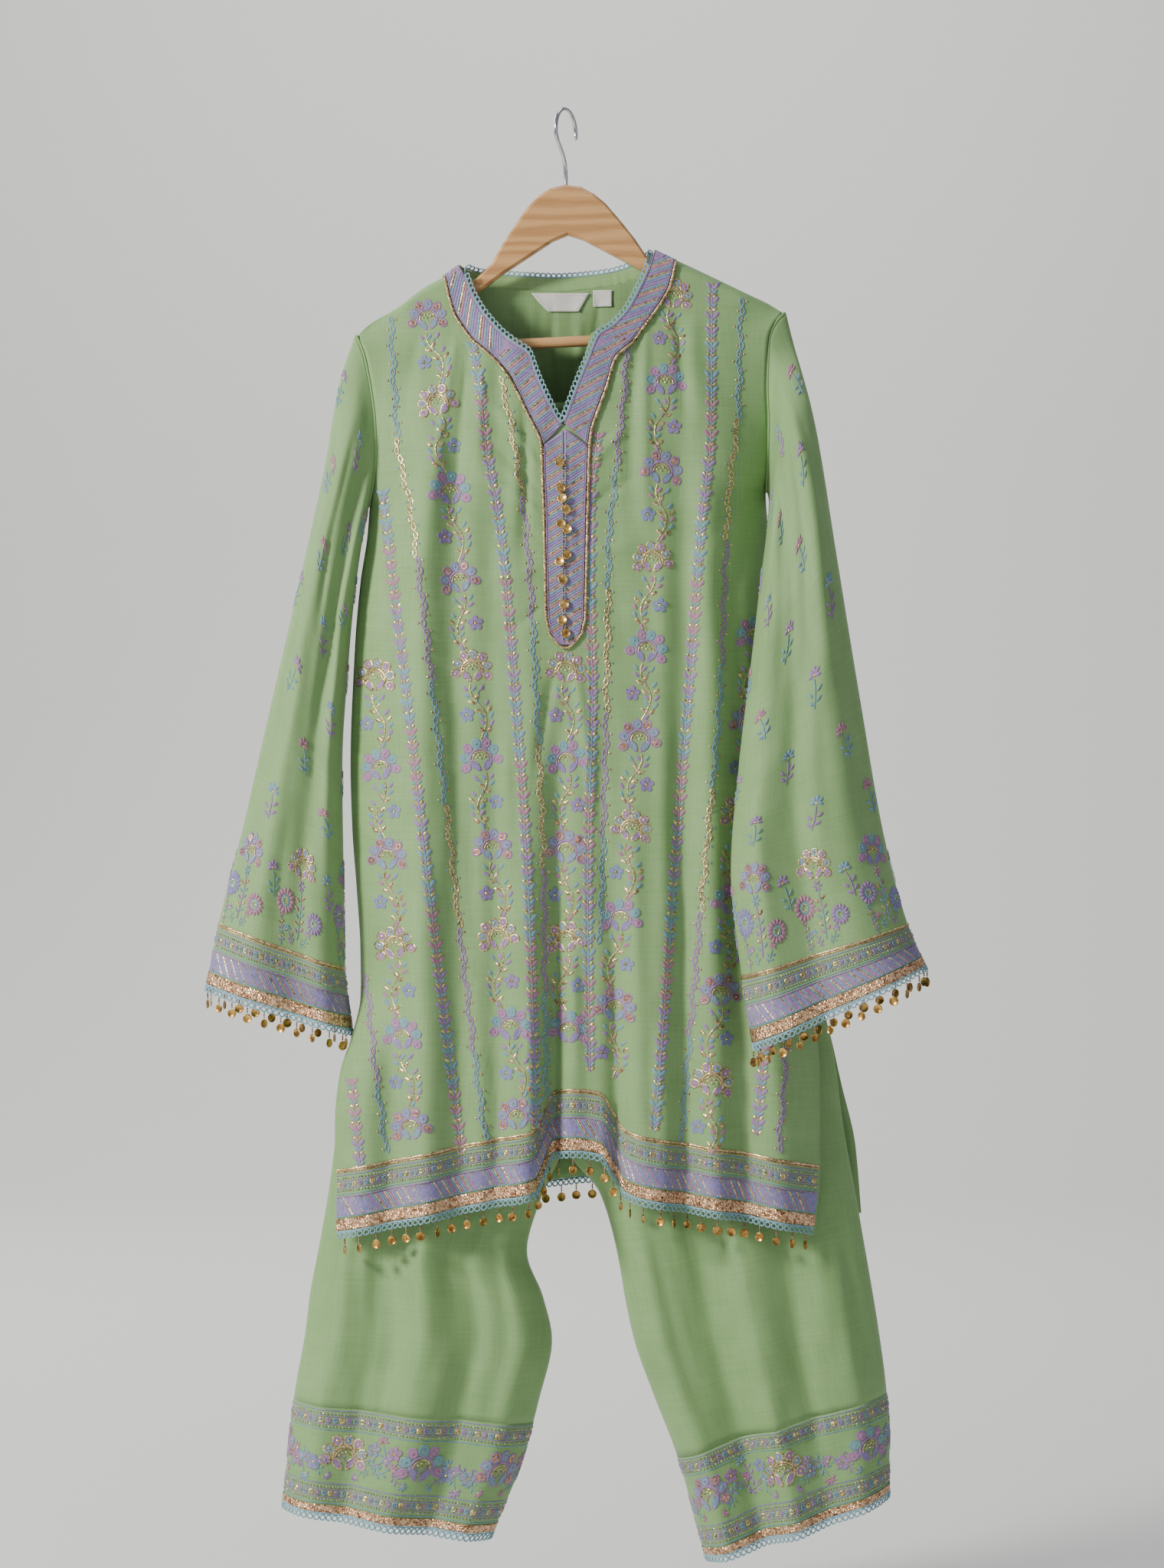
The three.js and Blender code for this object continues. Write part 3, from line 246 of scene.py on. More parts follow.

# %% [markdown]
# ## Creases
# Cotton silk creases where it is pulled: from the ends of the neck band, from the
# placket's stiff edge, under the arms and above a stitched border. Each crease is one
# short line with a width, a height out of the cloth (a trough if it is negative) and a
# bend. They are listed one by one, uneven in length, depth and distance.

# %% Crease tables and heights
CREASES = {
    -1: [(-96, -196, -120, -420, 5, 1.8, 6), (-84, -204, -98, -400, 5, -2.0, 5), (-70, -216, -78, -352, 4, 1.6, 4),
         (-58, -230, -60, -330, 4, -1.5, 3), (-46, -262, -52, -420, 5, 1.9, -4), (-38, -282, -40, -430, 4, -1.8, -3),
         (-24, -330, -76, -262, 3.2, 1.5, 3), (-23, -352, -84, -300, 3.2, -1.4, 4), (-22, -372, -92, -334, 3.5, 1.6, 5),
         (-21, -394, -96, -372, 3.5, -1.3, 5), (-20, -420, -88, -428, 4, 1.4, -5), (-19, -452, -74, -486, 4, -1.3, -4),
         (22, -330, 66, -286, 3.4, 1.4, -3), (21, -366, 74, -336, 3.6, -1.4, -4), (20, -404, 70, -396, 4, 1.3, 3),
         (19, -440, 62, -462, 4, -1.2, 4), (64, -206, 60, -400, 5, -1.8, 4), (74, -192, 76, -420, 5, 1.8, 4),
         (98, -172, 108, -330, 5, -1.6, -3), (118, -170, 122, -300, 6, 1.4, 4), (-150, -196, -168, -330, 6, 1.5, 4),
         (-130, -190, -146, -300, 6, -1.4, 4), (170, -350, 120, -420, 6, 1.9, -5), (176, -372, 128, -462, 6, -1.8, -6),
         (-170, -366, -118, -440, 6, 1.9, 6), (-178, -392, -130, -486, 6, -1.8, 6), (-182, -430, -150, -540, 6, 1.4, 5),
         (-8, -505, -30, -640, 5, -1.9, 3), (6, -500, 24, -660, 5, 1.7, -3), (-52, -560, -46, -760, 6, 1.5, 4),
         (-82, -600, -74, -830, 6, -1.7, 5), (-112, -520, -116, -760, 7, 1.6, -5), (-140, -620, -146, -860, 7, -1.5, 5),
         (34, -560, 40, -800, 6, -1.6, 4), (58, -640, 60, -880, 6, 1.5, -4), (100, -560, 104, -780, 7, -1.6, 4),
         (118, -660, 126, -900, 6, 1.5, 5), (152, -540, 166, -800, 7, -1.6, -5), (-170, -700, -182, -930, 7, 1.4, 4),
         (-40, -800, -34, -985, 5, -1.8, 3), (-76, -840, -72, -990, 6, 1.5, -3), (76, -820, 84, -990, 6, -1.5, 3),
         (180, -760, 204, -960, 7, 1.5, 4), (2, -760, 8, -940, 7, 1.8, -4)],
    1: [(-92, -168, -104, -330, 5, 1.6, 4), (-72, -170, -78, -300, 4, -1.6, 3), (-50, -172, -52, -280, 4, 1.5, 2),
        (-30, -174, -30, -340, 4, -1.5, 3), (-12, -174, -10, -290, 3.5, 1.4, 2), (10, -174, 12, -330, 4, -1.5, -3),
        (30, -172, 32, -280, 4, 1.5, 3), (50, -170, 54, -320, 4, -1.5, 3), (72, -164, 78, -290, 4, 1.4, 3),
        (-168, -366, -104, -450, 7, 1.8, 6), (-178, -400, -120, -520, 7, -1.7, 6), (170, -352, 110, -450, 7, 1.8, -6),
        (178, -392, 124, -520, 7, -1.7, -6), (-70, -420, -62, -700, 8, 1.7, 6), (-20, -500, -26, -800, 8, -1.8, 6),
        (34, -440, 26, -700, 8, 1.7, -6), (76, -520, 86, -820, 8, -1.7, 6), (-120, -600, -128, -900, 8, 1.5, 6),
        (120, -620, 132, -900, 8, 1.5, -6), (-84, -760, -90, -980, 7, -1.5, 5), (6, -760, 10, -960, 7, 1.6, 5),
        (60, -780, 64, -970, 7, -1.5, -5), (160, -700, 190, -960, 8, 1.5, 5), (-160, -700, -172, -960, 8, 1.5, -5)],
}


def crease_height(rows, x, z):
    total = 0.0
    for x0, z0, x1, z1, width, high, bend in rows:
        dx, dz = x1 - x0, z1 - z0
        length = math.hypot(dx, dz)
        along = ((x - x0) * dx + (z - z0) * dz) / length ** 2
        near = clamp01(along)
        across = ((x - x0) * dz - (z - z0) * dx) / length - bend * 4 * near * (1 - near)
        fade = ease(along / 0.3 + 0.2) * ease((1 - along) / 0.45)
        total = total + 1.35 * high * fade * np.exp(-(across / (width * (0.8 + 0.5 * near))) ** 2)
    return total + rumple(x, z)


def rumple(x, z):
    """Faint, uneven puckers between the creases."""
    upright = np.sin(x / 5.1 + 2.3 * np.sin(z / 83) + 1.1 * np.sin(x / 37)) * np.sin(z / 71 + x / 43)
    slanting = np.sin((x + 0.4 * z) / 6.3 + 1.9 * np.sin(z / 47)) * np.sin(x / 29 - z / 38)
    level = np.sin(z / 4.6 + 2.1 * np.sin(x / 33)) * np.sin(x / 21 + z / 57) ** 2
    return 0.42 * upright + 0.34 * slanting + 0.07 * level


def fold_depth(rows, x, z):
    total = 0.0
    for x0, z0, x1, z1, width, start, end in zip(*rows.values()):
        along = (z0 - z) / (z0 - z1)
        across = (x - mix(x0, x1, along)) / width
        total = total + mix(start, end, clamp01(along)) * ease(along / 0.12) * np.exp(-across * across)
    return total


def body_depth(side, x, z):
    """Distance of the front (side -1) or the back (side 1) from the middle plane."""
    to_left = x - read(EDGES[side, 0], "z", z, "x")
    to_right = read(EDGES[side, 1], "z", z, "x") - x
    edge = np.where(to_left < to_right, read(EDGE_DEPTH[0], "z", z, "depth"), read(EDGE_DEPTH[1], "z", z, "depth"))
    inward = np.sin(np.pi / 2 * clamp01(np.minimum(to_left, to_right) / 58))
    below = read(SHOULDER, "x", x, "z") - z
    full = mix(9.2, read(DEPTH, "z", z, "front" if side < 0 else "back"), ease((below + 10) / 190))
    folds = fold_depth(FOLDS[side], x, z) * ease((below - 20) / 120)
    folds = side * folds + crease_height(CREASES[side], x, z) * ease((below - 10) / 60)
    flat = mix(edge, full + folds, inward)
    return np.maximum(flat * np.sqrt(clamp01(below / 4.5)), 0.3 + 0.7 * (1 - inward))


def on_body(side, x, z):
    return np.stack([x, side * body_depth(side, x, z), z + 0 * x], -1)


# %% [markdown]
# ## Laying things on cloth
# Trims and embroidery are drawn flat, as they lie in the embroidery frame, and then laid
# on the cloth: every flat point finds its place on the surface and is lifted along the
# direction out of it. The panels' helper is here. Sleeves, legs and hems get theirs with
# the borders.

# %% Laying flat work on a surface


def unit_normal(across, up):
    normal = np.cross(across, up)
    return normal / np.maximum(np.linalg.norm(normal, axis=-1, keepdims=True), 1e-9)


def off_body(side, x, z, out, near=1.5):
    """Places on a panel, lifted off the cloth by out. The slope is read that near."""
    across = on_body(side, x + near, z) - on_body(side, x - near, z)
    up = on_body(side, x, z + near) - on_body(side, x, z - near)
    return on_body(side, x, z) - side * unit_normal(across, up) * np.asarray(out)[..., None]


def column_place(side, share, z):
    left = np.where(z > -205.7, -190, read(EDGES[side, 0], "z", z, "x"))
    right = np.where(z > -185, 198.3, read(EDGES[side, 1], "z", z, "x"))
    return mix(left, right, share)


def hem_height(side, share):
    rows = HEM[side]
    return read(rows, "x", mix(rows["x"][0], rows["x"][-1], share), "z")


def panel_top(side, x):
    top = read(SHOULDER, "x", x, "z")
    rows, low, high = (NECKLINE, -103, 87) if side < 0 else (BACK_NECK, -109, 100)
    return np.where((x > low) & (x < high), read(rows, "x", x, "z"), top)


def on_hem(side, share, up):
    """A place on a panel, by its share of the way across and its height above the hem."""
    z = hem_height(side, share) + up
    return on_body(side, column_place(side, share, z), z)


print("front stands off by", round(float(body_depth(-1, np.array([0.0]), np.array([-600.0]))[0]), 1), "mm")

# %% [markdown]
# ## Sleeves and legs
# Both are tubes through tilted sections. A row gives the outer and inner end of a
# section, and its depth. A sleeve starts at the armhole and opens like a bell. The two
# legs share the seat above the crotch and part below it.

# %% Sleeve tables and surface
SLEEVES = {
    "left": dict(
        rows=table("t ox oz ix iz front back shift",
                   [0, -190.4, -205.7, -179.2, -361.3, 14, 14, 0], [0.1, -204, -247, -184.5, -392, 22, 18, -2],
                   [0.2, -217, -322, -191, -440, 26, 22, -3], [0.35, -236, -410, -196.5, -500, 27, 24, -3],
                   [0.55, -266, -540, -202.5, -600, 28, 26, -3], [0.75, -294, -662, -201.5, -690, 30, 29, -2],
                   [0.9, -314, -741, -200, -782, 33, 33, -2], [1, -325, -797, -194, -838, 36, 36, -2]),
        folds=[(0.3, 0.13, 5, 4), (0.62, 0.12, -6, -5), (0.85, 0.1, 3, 5)], edge=EDGES[-1, 0],
        creases=[(20, -60, 34, -330, 7, 1.8, 6), (40, -40, 52, -250, 6, -1.8, 5), (60, -90, 70, -420, 7, 1.7, 6),
                 (82, -70, 86, -300, 6, -1.6, 5), (30, -260, 22, -520, 8, -1.7, 6), (96, -200, 100, -460, 7, 1.6, 5),
                 (12, -160, 10, -380, 6, 1.4, 4), (50, -380, 58, -545, 7, -1.4, 4), (78, -400, 92, -545, 7, 1.5, 4)]),
    "right": dict(
        rows=table("t ox oz ix iz front back shift",
                   [0, 198.7, -185, 182.6, -348, 14, 14, 0], [0.04, 204, -207, 184, -358, 17, 14, -6],
                   [0.1, 212, -240, 181, -386, 24, 14, -24], [0.2, 224, -298, 174, -434, 30, 16, -40],
                   [0.35, 240, -405, 165, -505, 32, 18, -56], [0.55, 262, -545, 152.8, -605, 32, 20, -66],
                   [0.75, 282, -662, 146, -695, 33, 22, -72], [0.9, 302, -739, 155, -785, 35, 24, -80],
                   [1, 317, -776, 165, -845, 38, 26, -85]),
        folds=[(0.25, 0.14, 4, 5), (0.58, 0.12, -6, -8), (0.84, 0.1, 5, 6)], edge=EDGES[-1, 1],
        creases=[(36, -30, 58, -330, 8, -2.6, 7), (20, -60, 30, -300, 7, 1.8, 5), (66, -120, 84, -420, 8, 1.9, 6),
                 (90, -90, 98, -350, 7, -1.9, 5), (44, -260, 40, -520, 8, 1.8, -6), (62, -360, 66, -545, 7, -1.8, 4),
                 (14, -220, 14, -480, 7, -1.5, 4), (100, -330, 92, -540, 7, 1.6, 5)]),
}
SLEEVE_LENGTH = 560
SLEEVE_GAP = 2.1  # from a sleeve's first row to the panel's edge
SQUARE = 0.85  # below 1, a tube's section is fuller than an ellipse


def on_sleeve(name, turn, t):
    kit = SLEEVES[name]
    rows = kit["rows"]
    get = lambda column: read(rows, "t", t, column)
    across = (1 - np.cos(turn)) / 2
    x, z = mix(get("ox"), get("ix"), across), mix(get("oz"), get("iz"), across)
    seam = mix(rows["oz"][0], rows["iz"][0], across)
    edge = kit["edge"]
    bow = read(edge, "z", seam, "x") - mix(edge["x"][0], rows["ix"][0], across)
    x = x + bow * (1 - ease(t / 0.3)) + np.sign(rows["ox"][0]) * SLEEVE_GAP
    side = np.sin(turn)
    half = np.where(side > 0, get("front"), get("back"))
    y = get("shift") * ease(across * 0.5 + t * 6) - half * np.sign(side) * np.abs(side) ** SQUARE
    lift = np.sign(side) * np.minimum(1, 2 * np.abs(side)) * ease(t * 8)
    for place, width, start, end in kit["folds"]:
        y = y - lift * mix(start, end, t) * np.exp(-((across - place) / width) ** 2)
    y = y - lift * crease_height(kit["creases"], 110 * across, -SLEEVE_LENGTH * t)
    return np.stack([x, y, z], -1)


# %% [markdown]
# The salwar's legs are tubes as well, wide and flat, with deep folds that open downwards.
# Above the crotch each leg keeps only its outer half, so that the two meet in the middle.
# A loft through drawn sections could do the same, but a formula also tells every trim
# where its place on the cloth is.

# %% Leg tables and surface
LEGS = {
    "left": dict(
        rows=table("t ox oz ix iz depth closed",
                   [0, -150, -300, -0.25, -300, 14, 0], [0.1, -168, -420, -0.25, -420, 17, 0],
                   [0.22, -176, -560, -0.25, -560, 19, 0], [0.34, -178, -690, -0.25, -690, 20, 0],
                   [0.44, -182, -790, -0.25, -790, 20, 0], [0.52, -189, -870, -0.25, -870, 21, 0],
                   [0.59, -209, -935, -0.6, -935, 23, 0.1], [0.65, -216, -985, -22, -990, 28, 0.95],
                   [0.71, -226, -1042, -36, -1042, 34, 1], [0.77, -233, -1078, -21, -1085, 37, 1],
                   [0.82, -238, -1118, -13, -1124, 39, 1], [0.88, -247, -1168, -25, -1178, 40, 1],
                   [0.94, -253, -1218, -41, -1236, 41, 1], [1, -257.6, -1268.5, -66, -1296, 42, 1]),
        folds=[(0.12, 0.07, 0, 6), (0.3, 0.08, 0, -8), (0.5, 0.08, 0, 6), (0.7, 0.07, 0, -8), (0.88, 0.06, 0, 5)],
        creases=[(60, -560, 66, -860, 7, 2.2, 6), (96, -600, 92, -980, 8, -2.3, 6), (128, -640, 120, -900, 7, 2.0, 5),
                 (160, -580, 150, -870, 8, -2.2, 5), (190, -640, 176, -960, 7, 2.1, 5),
                 (30, -640, 34, -900, 7, -1.8, 5), (210, -680, 196, -880, 6, -1.8, 4), (78, -760, 84, -985, 6, 1.6, 4),
                 (140, -800, 138, -985, 7, 1.6, 4), (226, -620, 150, -700, 6, 1.6, 6)]),
    "right": dict(
        rows=table("t ox oz ix iz depth closed",
                   [0, 150, -300, 0.25, -300, 14, 0], [0.1, 170, -420, 0.25, -420, 17, 0],
                   [0.22, 180, -560, 0.25, -560, 19, 0], [0.34, 192, -690, 0.25, -690, 20, 0],
                   [0.44, 206, -790, 0.25, -790, 20, 0], [0.5, 240, -842, 0.25, -842, 21, 0],
                   [0.59, 254, -934, 0.6, -940, 23, 0.1], [0.65, 264, -988, 32, -990, 28, 0.95],
                   [0.71, 272, -1034, 47, -1042, 34, 1], [0.77, 280, -1080, 55, -1088, 38, 1],
                   [0.82, 286, -1118, 63, -1124, 40, 1], [0.88, 292, -1164, 80, -1172, 41, 1],
                   [0.94, 295.4, -1212, 101, -1226, 42, 1], [1, 294.7, -1259, 127, -1317, 44, 1]),
        folds=[(0.14, 0.07, 0, 6), (0.34, 0.08, 0, -7), (0.52, 0.06, 0, 5), (0.68, 0.09, 0, -16), (0.9, 0.07, 0, 8)],
        creases=[(50, -560, 60, -900, 7, 2.1, 6), (84, -600, 88, -980, 8, -2.2, 6), (112, -640, 112, -900, 7, 2.0, 5),
                 (140, -600, 140, -940, 8, -2.2, 5), (182, -640, 172, -960, 7, 2.1, 5),
                 (24, -640, 30, -960, 7, -1.8, 5), (206, -680, 200, -900, 6, -1.8, 4), (70, -780, 76, -985, 6, 1.7, 4),
                 (126, -800, 130, -985, 7, 1.6, 4), (224, -640, 150, -720, 6, 1.6, 6)]),
}
LEG_LENGTH = 990
ANKLE_BAND = 92  # height of the band, for its embroidery
ANKLE_SEAM = {"left": (0.89, 0.9), "right": (0.888, 0.943)}  # its top, at the outer edge and at the inseam


def ankle_seam(name, turn):
    return mix(*ANKLE_SEAM[name], (1 + np.cos(turn)) / 2)


def on_leg(name, turn, t):
    kit = LEGS[name]
    get = lambda column: read(kit["rows"], "t", t, column)
    across = (1 + np.cos(turn)) / 2
    side = np.sin(turn)
    bowl = np.abs(side) ** SQUARE
    half = np.sqrt(np.maximum(across * (2 - across), 0)) ** SQUARE
    depth = get("depth") * mix(half, bowl, clamp01(get("closed")))
    for place, width, start, end in kit["folds"]:
        depth = depth + (mix(start, end, ease((t - 0.5) / 0.3)) * ease((t - 0.5) / 0.2)
                         * np.exp(-((across - place) / width) ** 2) * np.minimum(1, 2 * bowl))
    depth = depth + crease_height(kit["creases"], 240 * across, -LEG_LENGTH * t) * np.minimum(1, 2 * bowl)
    depth = np.maximum(depth, 0.8 * np.minimum(1, 40 * np.abs(side)))
    x, z = mix(get("ox"), get("ix"), across), mix(get("oz"), get("iz"), across)
    return np.stack([x, np.where(side >= 0, -1, 1) * depth, z], -1)


print("sleeve cuff reaches x =", np.round(on_sleeve("left", np.array([0.0]), np.array([1.0]))[0, 0], 1))

# %% [markdown]
# ## Fabric finishes
# Every cloth here shares a few effects, so each is a node group that is built once: a
# weave with slubs for the cotton silk, a twisted strand for embroidery thread and lace, a
# crinkle for the metal ribbon, and grain for the wood. A group only puts out masks and
# heights. Each material mixes its own colours with them.

# %% Node helpers


def group(name, inputs, outputs):
    """A new node group with its input and output nodes."""
    tree = bpy.data.node_groups.new(name, "ShaderNodeTree")
    for label, kind, value in inputs:
        socket = tree.interface.new_socket(label, in_out="INPUT", socket_type=kind)
        if value is not None:
            socket.default_value = value
    for label, kind in outputs:
        tree.interface.new_socket(label, in_out="OUTPUT", socket_type=kind)
    return tree, tree.nodes.new("NodeGroupInput"), tree.nodes.new("NodeGroupOutput")


def add_node(tree, kind, values=(), links=(), **settings):
    """A node with its settings, its socket values and its incoming links."""
    node = tree.nodes.new("ShaderNode" + kind)
    for key, value in settings.items():
        setattr(node, key, value)
    for socket, value in dict(values).items():
        node.inputs[socket].default_value = value
    for socket, source in dict(links).items():
        tree.links.new(source, node.inputs[socket])
    return node


def math_node(tree, operation, a, b=0.0):
    node = tree.nodes.new("ShaderNodeMath")
    node.operation = operation
    for socket, value in ((0, a), (1, b)):
        if isinstance(value, (int, float)):
            node.inputs[socket].default_value = value
        else:
            tree.links.new(value, node.inputs[socket])
    return node.outputs[0]


# %% [markdown]
# The weave is two crossing sets of fine waves with slow clouds for the slubs, and its tone
# is lighter where the waves raise the threads, a painted shade between them. A strand is
# one slanting set with the same painted shade in its grooves, a crinkle is a field of
# small cells that each get a painted glint of their own, and grain is a wave drawn out
# along the wood. Painted images could show all four, but these stay sharp close up and
# never repeat.

# %% Weave, strand, crinkle and grain groups
FLOAT, VECTOR = "NodeSocketFloat", "NodeSocketVector"


def weave_group():
    """Warp and weft with uneven slubs, and a painted shade between the threads: the fine waves that raise the threads
    also lighten the tone. The vector is in millimetres of cloth.
    """
    tree, given, result = group("weave", [("Vector", VECTOR, None), ("Threads", FLOAT, 2.2), ("Slub", FLOAT, 0.5)],
                                [("Tone", FLOAT), ("Height", FLOAT)])
    vector, threads = given.outputs["Vector"], given.outputs["Threads"]
    waves = [add_node(tree, "TexWave", {"Distortion": 0.6, "Detail": 1.0},
                      {"Vector": vector, "Scale": math_node(tree, "MULTIPLY", threads, 0.32)},
                      wave_type="BANDS", bands_direction=way).outputs["Fac"] for way in ("X", "Y")]
    fine = math_node(tree, "MULTIPLY", waves[0], waves[1])
    slubs = []
    for scale in ((0.55, 0.035, 1), (0.03, 0.45, 1)):
        stretched = add_node(tree, "Mapping", {"Scale": scale}, {"Vector": vector}).outputs[0]
        slubs.append(add_node(tree, "TexNoise", {"Scale": 1.0, "Detail": 3.0}, {"Vector": stretched}).outputs["Fac"])
    slub = math_node(tree, "MULTIPLY", math_node(tree, "ADD", slubs[0], slubs[1]), 0.5)
    cloud = add_node(tree, "TexNoise", {"Scale": 0.02, "Detail": 2.0}, {"Vector": vector}).outputs["Fac"]
    uneven = math_node(tree, "MULTIPLY", math_node(tree, "ADD", slub, math_node(tree, "MULTIPLY", cloud, 0.6)),
                       given.outputs["Slub"])
    # Painted shade: the fine thread waves go into the tone as well as the height, so the tone is darker between the
    # threads.
    tree.links.new(math_node(tree, "ADD", uneven, math_node(tree, "MULTIPLY", fine, 0.22)), result.inputs["Tone"])
    tree.links.new(math_node(tree, "ADD", fine, math_node(tree, "MULTIPLY", slub, 0.8)), result.inputs["Height"])
    return tree


def strand_group():
    """Fine slanting strands of twisted thread, in object space, with a mottled tone and a painted shade in the grooves
    between the strands.
    """
    tree, given, result = group("strand", [("Vector", VECTOR, None), ("Scale", FLOAT, 900.0)],
                                [("Tone", FLOAT), ("Height", FLOAT)])
    turned = add_node(tree, "Mapping", {"Rotation": (0.2, 0.7, 0.9)}, {"Vector": given.outputs["Vector"]}).outputs[0]
    strands = add_node(tree, "TexWave", {"Distortion": 3.0, "Detail": 1.0, "Detail Scale": 1.5},
                       {"Vector": turned, "Scale": given.outputs["Scale"]}).outputs["Fac"]
    mottle = add_node(tree, "TexNoise", {"Scale": 420.0, "Detail": 2.0},
                      {"Vector": given.outputs["Vector"]}).outputs["Fac"]
    # Painted shade: the strand waves that make the height also lighten the tone on the crests, so the grooves are
    # darker.
    tone = math_node(tree, "ADD", math_node(tree, "MULTIPLY", strands, 0.5), math_node(tree, "MULTIPLY", mottle, 0.6))
    tree.links.new(tone, result.inputs["Tone"])
    tree.links.new(strands, result.inputs["Height"])
    return tree


def crinkle_group():
    """Small flat facets, each with a painted glint: every cell's colour is lighter or darker as if its own slant caught
    the light, as in creased metal ribbon.
    """
    tree, given, result = group("crinkle", [("Vector", VECTOR, None), ("Scale", FLOAT, 700.0)],
                                [("Tone", FLOAT), ("Height", FLOAT)])
    cells = add_node(tree, "TexVoronoi", {"Randomness": 1.0},
                     {"Vector": given.outputs["Vector"], "Scale": given.outputs["Scale"]})
    broad = add_node(tree, "TexNoise", {"Scale": 130.0, "Detail": 3.0},
                     {"Vector": given.outputs["Vector"]}).outputs["Fac"]
    # Painted glint: each cell's random colour makes its facet lighter or darker, standing in for the light that it
    # reflects.
    painted_glint = add_node(tree, "SeparateColor", {}, {"Color": cells.outputs["Color"]}).outputs[0]
    tone = math_node(tree, "ADD", math_node(tree, "MULTIPLY", painted_glint, 0.6), math_node(tree, "MULTIPLY", broad, 0.5))
    tree.links.new(tone, result.inputs["Tone"])
    tree.links.new(math_node(tree, "ADD", cells.outputs["Distance"], broad), result.inputs["Height"])
    return tree


def grain_group():
    """Long growth lines with pores, along X."""
    tree, given, result = group("grain", [("Vector", VECTOR, None), ("Density", FLOAT, 1.0)],
                                [("Tone", FLOAT), ("Pores", FLOAT)])
    drawn = add_node(tree, "Mapping", {"Scale": (3.0, 26.0, 26.0)}, {"Vector": given.outputs["Vector"]}).outputs[0]
    lines = add_node(tree, "TexWave", {"Distortion": 7.0, "Detail": 4.0, "Detail Scale": 1.4, "Detail Roughness": 0.6},
                     {"Vector": drawn, "Scale": given.outputs["Density"]}, bands_direction="Z").outputs["Fac"]
    fine = add_node(tree, "Mapping", {"Scale": (40.0, 900.0, 900.0)}, {"Vector": given.outputs["Vector"]}).outputs[0]
    pores = add_node(tree, "TexNoise", {"Scale": 1.0, "Detail": 2.0}, {"Vector": fine}).outputs["Fac"]
    tone = math_node(tree, "ADD", math_node(tree, "MULTIPLY", lines, 0.6), math_node(tree, "MULTIPLY", pores, 0.5))
    tree.links.new(tone, result.inputs["Tone"])
    tree.links.new(pores, result.inputs["Pores"])
    return tree


WEAVE, STRAND, CRINKLE, GRAIN = weave_group(), strand_group(), crinkle_group(), grain_group()
print("shared effects:", [tree.name for tree in (WEAVE, STRAND, CRINKLE, GRAIN)])

# %% [markdown]
# A finish runs from a dark to a light colour over the effect's tone, and takes its bumps
# from the effect's height. Thread is dull with a sheen, metal thread, ribbon and coins are
# metallic, and only the wood has a coat of varnish. What is the same all over a piece is
# set on the shader itself.

# %% A finish from two colours and one shared effect


def finish(name, effect, dark, light, low=0.3, high=0.8, bump=0.3, depth=0.0002, inputs=(), uv=False, **shader):
    """A material whose colour runs from dark to light over the effect's tone."""
    material = bpy.data.materials.new(name)
    material.use_nodes = True
    tree = material.node_tree
    principled = tree.nodes["Principled BSDF"]
    place = tree.nodes.new("ShaderNodeTexCoord").outputs["UV" if uv else "Object"]
    effect_node = tree.nodes.new("ShaderNodeGroup")
    effect_node.node_tree = effect
    tree.links.new(place, effect_node.inputs["Vector"])
    for socket, value in dict(inputs).items():
        effect_node.inputs[socket].default_value = value
    ramp = tree.nodes.new("ShaderNodeValToRGB")
    ramp.color_ramp.elements[0].position, ramp.color_ramp.elements[1].position = low, high
    ramp.color_ramp.elements[0].color, ramp.color_ramp.elements[1].color = (*dark, 1), (*light, 1)
    tree.links.new(effect_node.outputs["Tone"], ramp.inputs["Fac"])
    tree.links.new(ramp.outputs["Color"], principled.inputs["Base Color"])
    relief = effect_node.outputs[1]
    bumped = add_node(tree, "Bump", {"Strength": bump, "Distance": depth}, {"Height": relief})
    tree.links.new(bumped.outputs["Normal"], principled.inputs["Normal"])
    for socket, value in shader.items():
        principled.inputs[socket.replace("_", " ")].default_value = value
    return material


SILK = dict(low=0.25, high=0.95, bump=0.35, depth=0.0003, uv=True, Sheen_Weight=0.12, Sheen_Roughness=0.4)
kurta_cloth = finish("pistachio_silk", WEAVE, (0.165, 0.30, 0.10), (0.355, 0.55, 0.245), Roughness=0.62, **SILK)
salwar_cloth = finish("salwar_silk", WEAVE, (0.16, 0.30, 0.095), (0.345, 0.545, 0.235), Roughness=0.6, **SILK)
lilac, blue, violet, pink, aqua = (
    finish(f"{dye}_thread", STRAND, dark, light, Roughness=0.5, Sheen_Weight=0.15) for dye, dark, light in (
        ("lilac", (0.15, 0.085, 0.21), (0.43, 0.27, 0.51)), ("blue", (0.075, 0.16, 0.23), (0.25, 0.42, 0.53)),
        ("violet", (0.11, 0.09, 0.25), (0.32, 0.28, 0.53)), ("pink", (0.22, 0.08, 0.15), (0.53, 0.27, 0.38)),
        ("aqua", (0.07, 0.19, 0.19), (0.23, 0.43, 0.42))))
gold = finish("gold_zari", CRINKLE, (0.13, 0.075, 0.025), (0.88, 0.66, 0.36), 0.2, 0.8, 0.6, 0.0003, {"Scale": 900.0},
              Roughness=0.34, Metallic=0.75)
rose = finish("rose_zari", CRINKLE, (0.13, 0.055, 0.025), (0.70, 0.40, 0.24), 0.2, 0.8, 0.6, 0.0003, {"Scale": 900.0},
              Roughness=0.36, Metallic=0.7)
THREADS = [lilac, blue, gold, rose, violet, aqua, pink]
L, B, G, R, V, A, P = range(7)
ribbon_metal = finish("rose_gold_ribbon", CRINKLE, (0.26, 0.11, 0.045), (0.95, 0.62, 0.38), 0.25, 0.75, 1.0, 0.0012,
                      {"Scale": 520.0}, Roughness=0.3, Metallic=0.8)
lace_cotton = finish("picot_cotton", STRAND, (0.11, 0.26, 0.33), (0.34, 0.56, 0.64), Roughness=0.7, Sheen_Weight=0.3)
